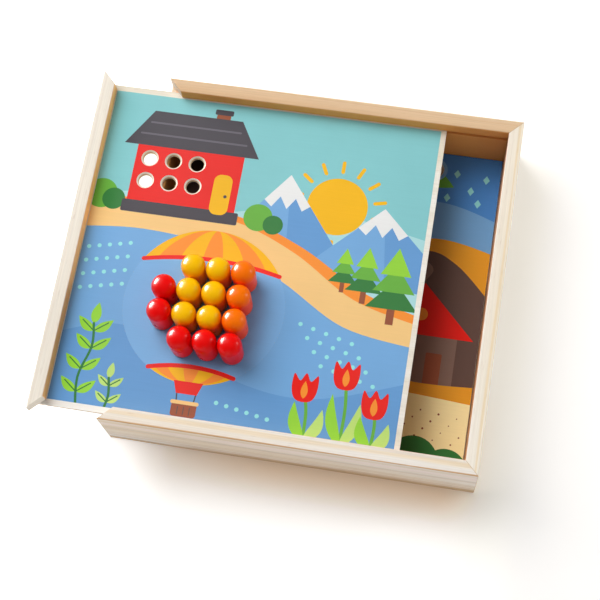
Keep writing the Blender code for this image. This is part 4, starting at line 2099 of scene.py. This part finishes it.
@dataclass
class Studio:
    """White sweep, soft light from the back left and the camera of the photograph.

    Attributes:
        eye: Place of the camera.
        right: Direction in the room that is rightwards in the picture.
        down: The same for downwards.
        ahead: The same for what the camera looks at.
        lens: Focal length in millimetres.
        sensor: Width of the camera's sensor in millimetres.
        floor_half: Half the side of the floor.
        floor_drop: How far the floor lies below the object.
        sky_low: Strength of the room's light at the height of the floor.
        sky_high: Its strength from above.
        sky_top: How far up, as a sine, it has that strength.
        sky_warm: Colour of the room's light.
        sky_cool: Its colour from the front.
        front: Direction in which the room's light is cooler.
        cool_from: Where along that direction it turns cool, and where it is coolest.
        bright_side: Direction in which the room's light is brightest.
        bright_share: How much brighter it is there.
        lamps: The lights.
    """

    eye: Spot = (0.093673, -0.319700, 0.949931)
    right: Spot = (0.984679, 0.165206, -0.055805)
    down: Spot = (0.138758, -0.936158, -0.323040)
    ahead: Spot = (-0.105610, 0.310347, -0.944739)
    lens: float = 85.73
    sensor: float = 36.0
    floor_half: float = 30.0
    floor_drop: float = 0.0001
    sky_low: float = 0.17
    sky_high: float = 0.14
    sky_top: float = 0.8
    sky_warm: Colour = (1.0, 0.99, 0.97, 1.0)
    sky_cool: Colour = (0.93, 0.96, 1.08, 1.0)
    front: Spot = (0.0, -1.0, 0.0)
    cool_from: Point = (-0.2, 0.9)
    bright_side: Spot = (0.94, 0.34, 0.0)
    bright_share: float = 0.30
    lamps: tuple[Lamp, ...] = (
        Lamp("key", (-0.530, 0.370, 0.761), 3.0, 2.4, 91.0, gloss=False),
        Lamp("ceiling", (0.10, 0.0, 0.995), 3.0, 3.2, 9.0, gloss=False),
        Lamp("front_fill", (0.10, -0.985, 0.14), 2.5, 1.2, 17.5, gloss=False),
        Lamp("left_window", (-0.890, 0.390, 0.200), 1.5, 0.95, 235.0, body=False),
        Lamp("right_fill", (0.950, 0.100, 0.300), 2.0, 1.0, 6.0, gloss=False),
        Lamp("right_window", (0.92, 0.34, 0.20), 1.3, 0.22, 3.6),
    )

    def build_camera(self) -> None:
        """Sets the camera where the photograph was taken from."""
        data = bpy.data.cameras.new("camera")
        data.lens = self.lens
        data.sensor_width = self.sensor
        camera = put("camera", data)
        axes = (Vector(self.right), -Vector(self.down), -Vector(self.ahead))
        turn = Matrix(axes).transposed().to_4x4()
        camera.matrix_world = Matrix.Translation(self.eye) @ turn
        bpy.context.scene.camera = camera

    def build_floor(self) -> None:
        """Lays the paper sweep under the object."""
        half = self.floor_half
        corners = [(-half, -half), (half, -half), (half, half), (-half, half)]
        mesh = bpy.data.meshes.new("paper_floor")
        mesh.from_pydata([(x, y, -self.floor_drop) for x, y in corners], [], [(0, 1, 2, 3)])
        mesh.materials.append(FloorFinish("white_paper").material())
        put("paper_floor", mesh)

    def build_sky(self) -> None:
        """Fills the room with light, brightest low on the right and cooler from the front."""
        world = bpy.data.worlds.new("studio")
        graph = Graph.blank(world)
        way = graph.add("ShaderNodeTexCoord").outputs["Generated"]
        rise = graph.step(graph.parts(way)[2], 0.0, self.sky_top)
        level = graph.spread(rise, self.sky_low, self.sky_high)
        side = graph.measure("DOT_PRODUCT", way, self.bright_side)
        more = graph.math("MULTIPLY_ADD", side, self.bright_share, 1.0)
        level = graph.math("MULTIPLY", level, more)
        cool = graph.step(graph.measure("DOT_PRODUCT", way, self.front), *self.cool_from)
        tint = graph.mix(cool, self.sky_warm, self.sky_cool)
        fill = graph.out("ShaderNodeBackground", {"Color": tint, "Strength": level})
        graph.add("ShaderNodeOutputWorld", {"Surface": fill})
        bpy.context.scene.world = world

    def build(self) -> None:
        """Sets up the whole studio."""
        self.build_camera()
        self.build_floor()
        self.build_sky()
        for lamp in self.lamps:
            lamp.hang()
        bpy.context.scene.view_settings.view_transform = "Standard"


def main() -> None:
    """Builds the sub-assemblies in order and reports each piece."""
    logging.basicConfig(level=logging.INFO, format="%(name)s: %(message)s")
    Studio().build()
    box = Box()
    box.dress_rails()
    box.dress_base()
    pieces = [box.build_glue()] + Lid().build() + StoredBoard().build() + Pegs().build()
    for piece in pieces:
        LOG.info("built %s with %d faces", piece.name, len(piece.data.polygons))


if __name__ == "__main__":
    main()
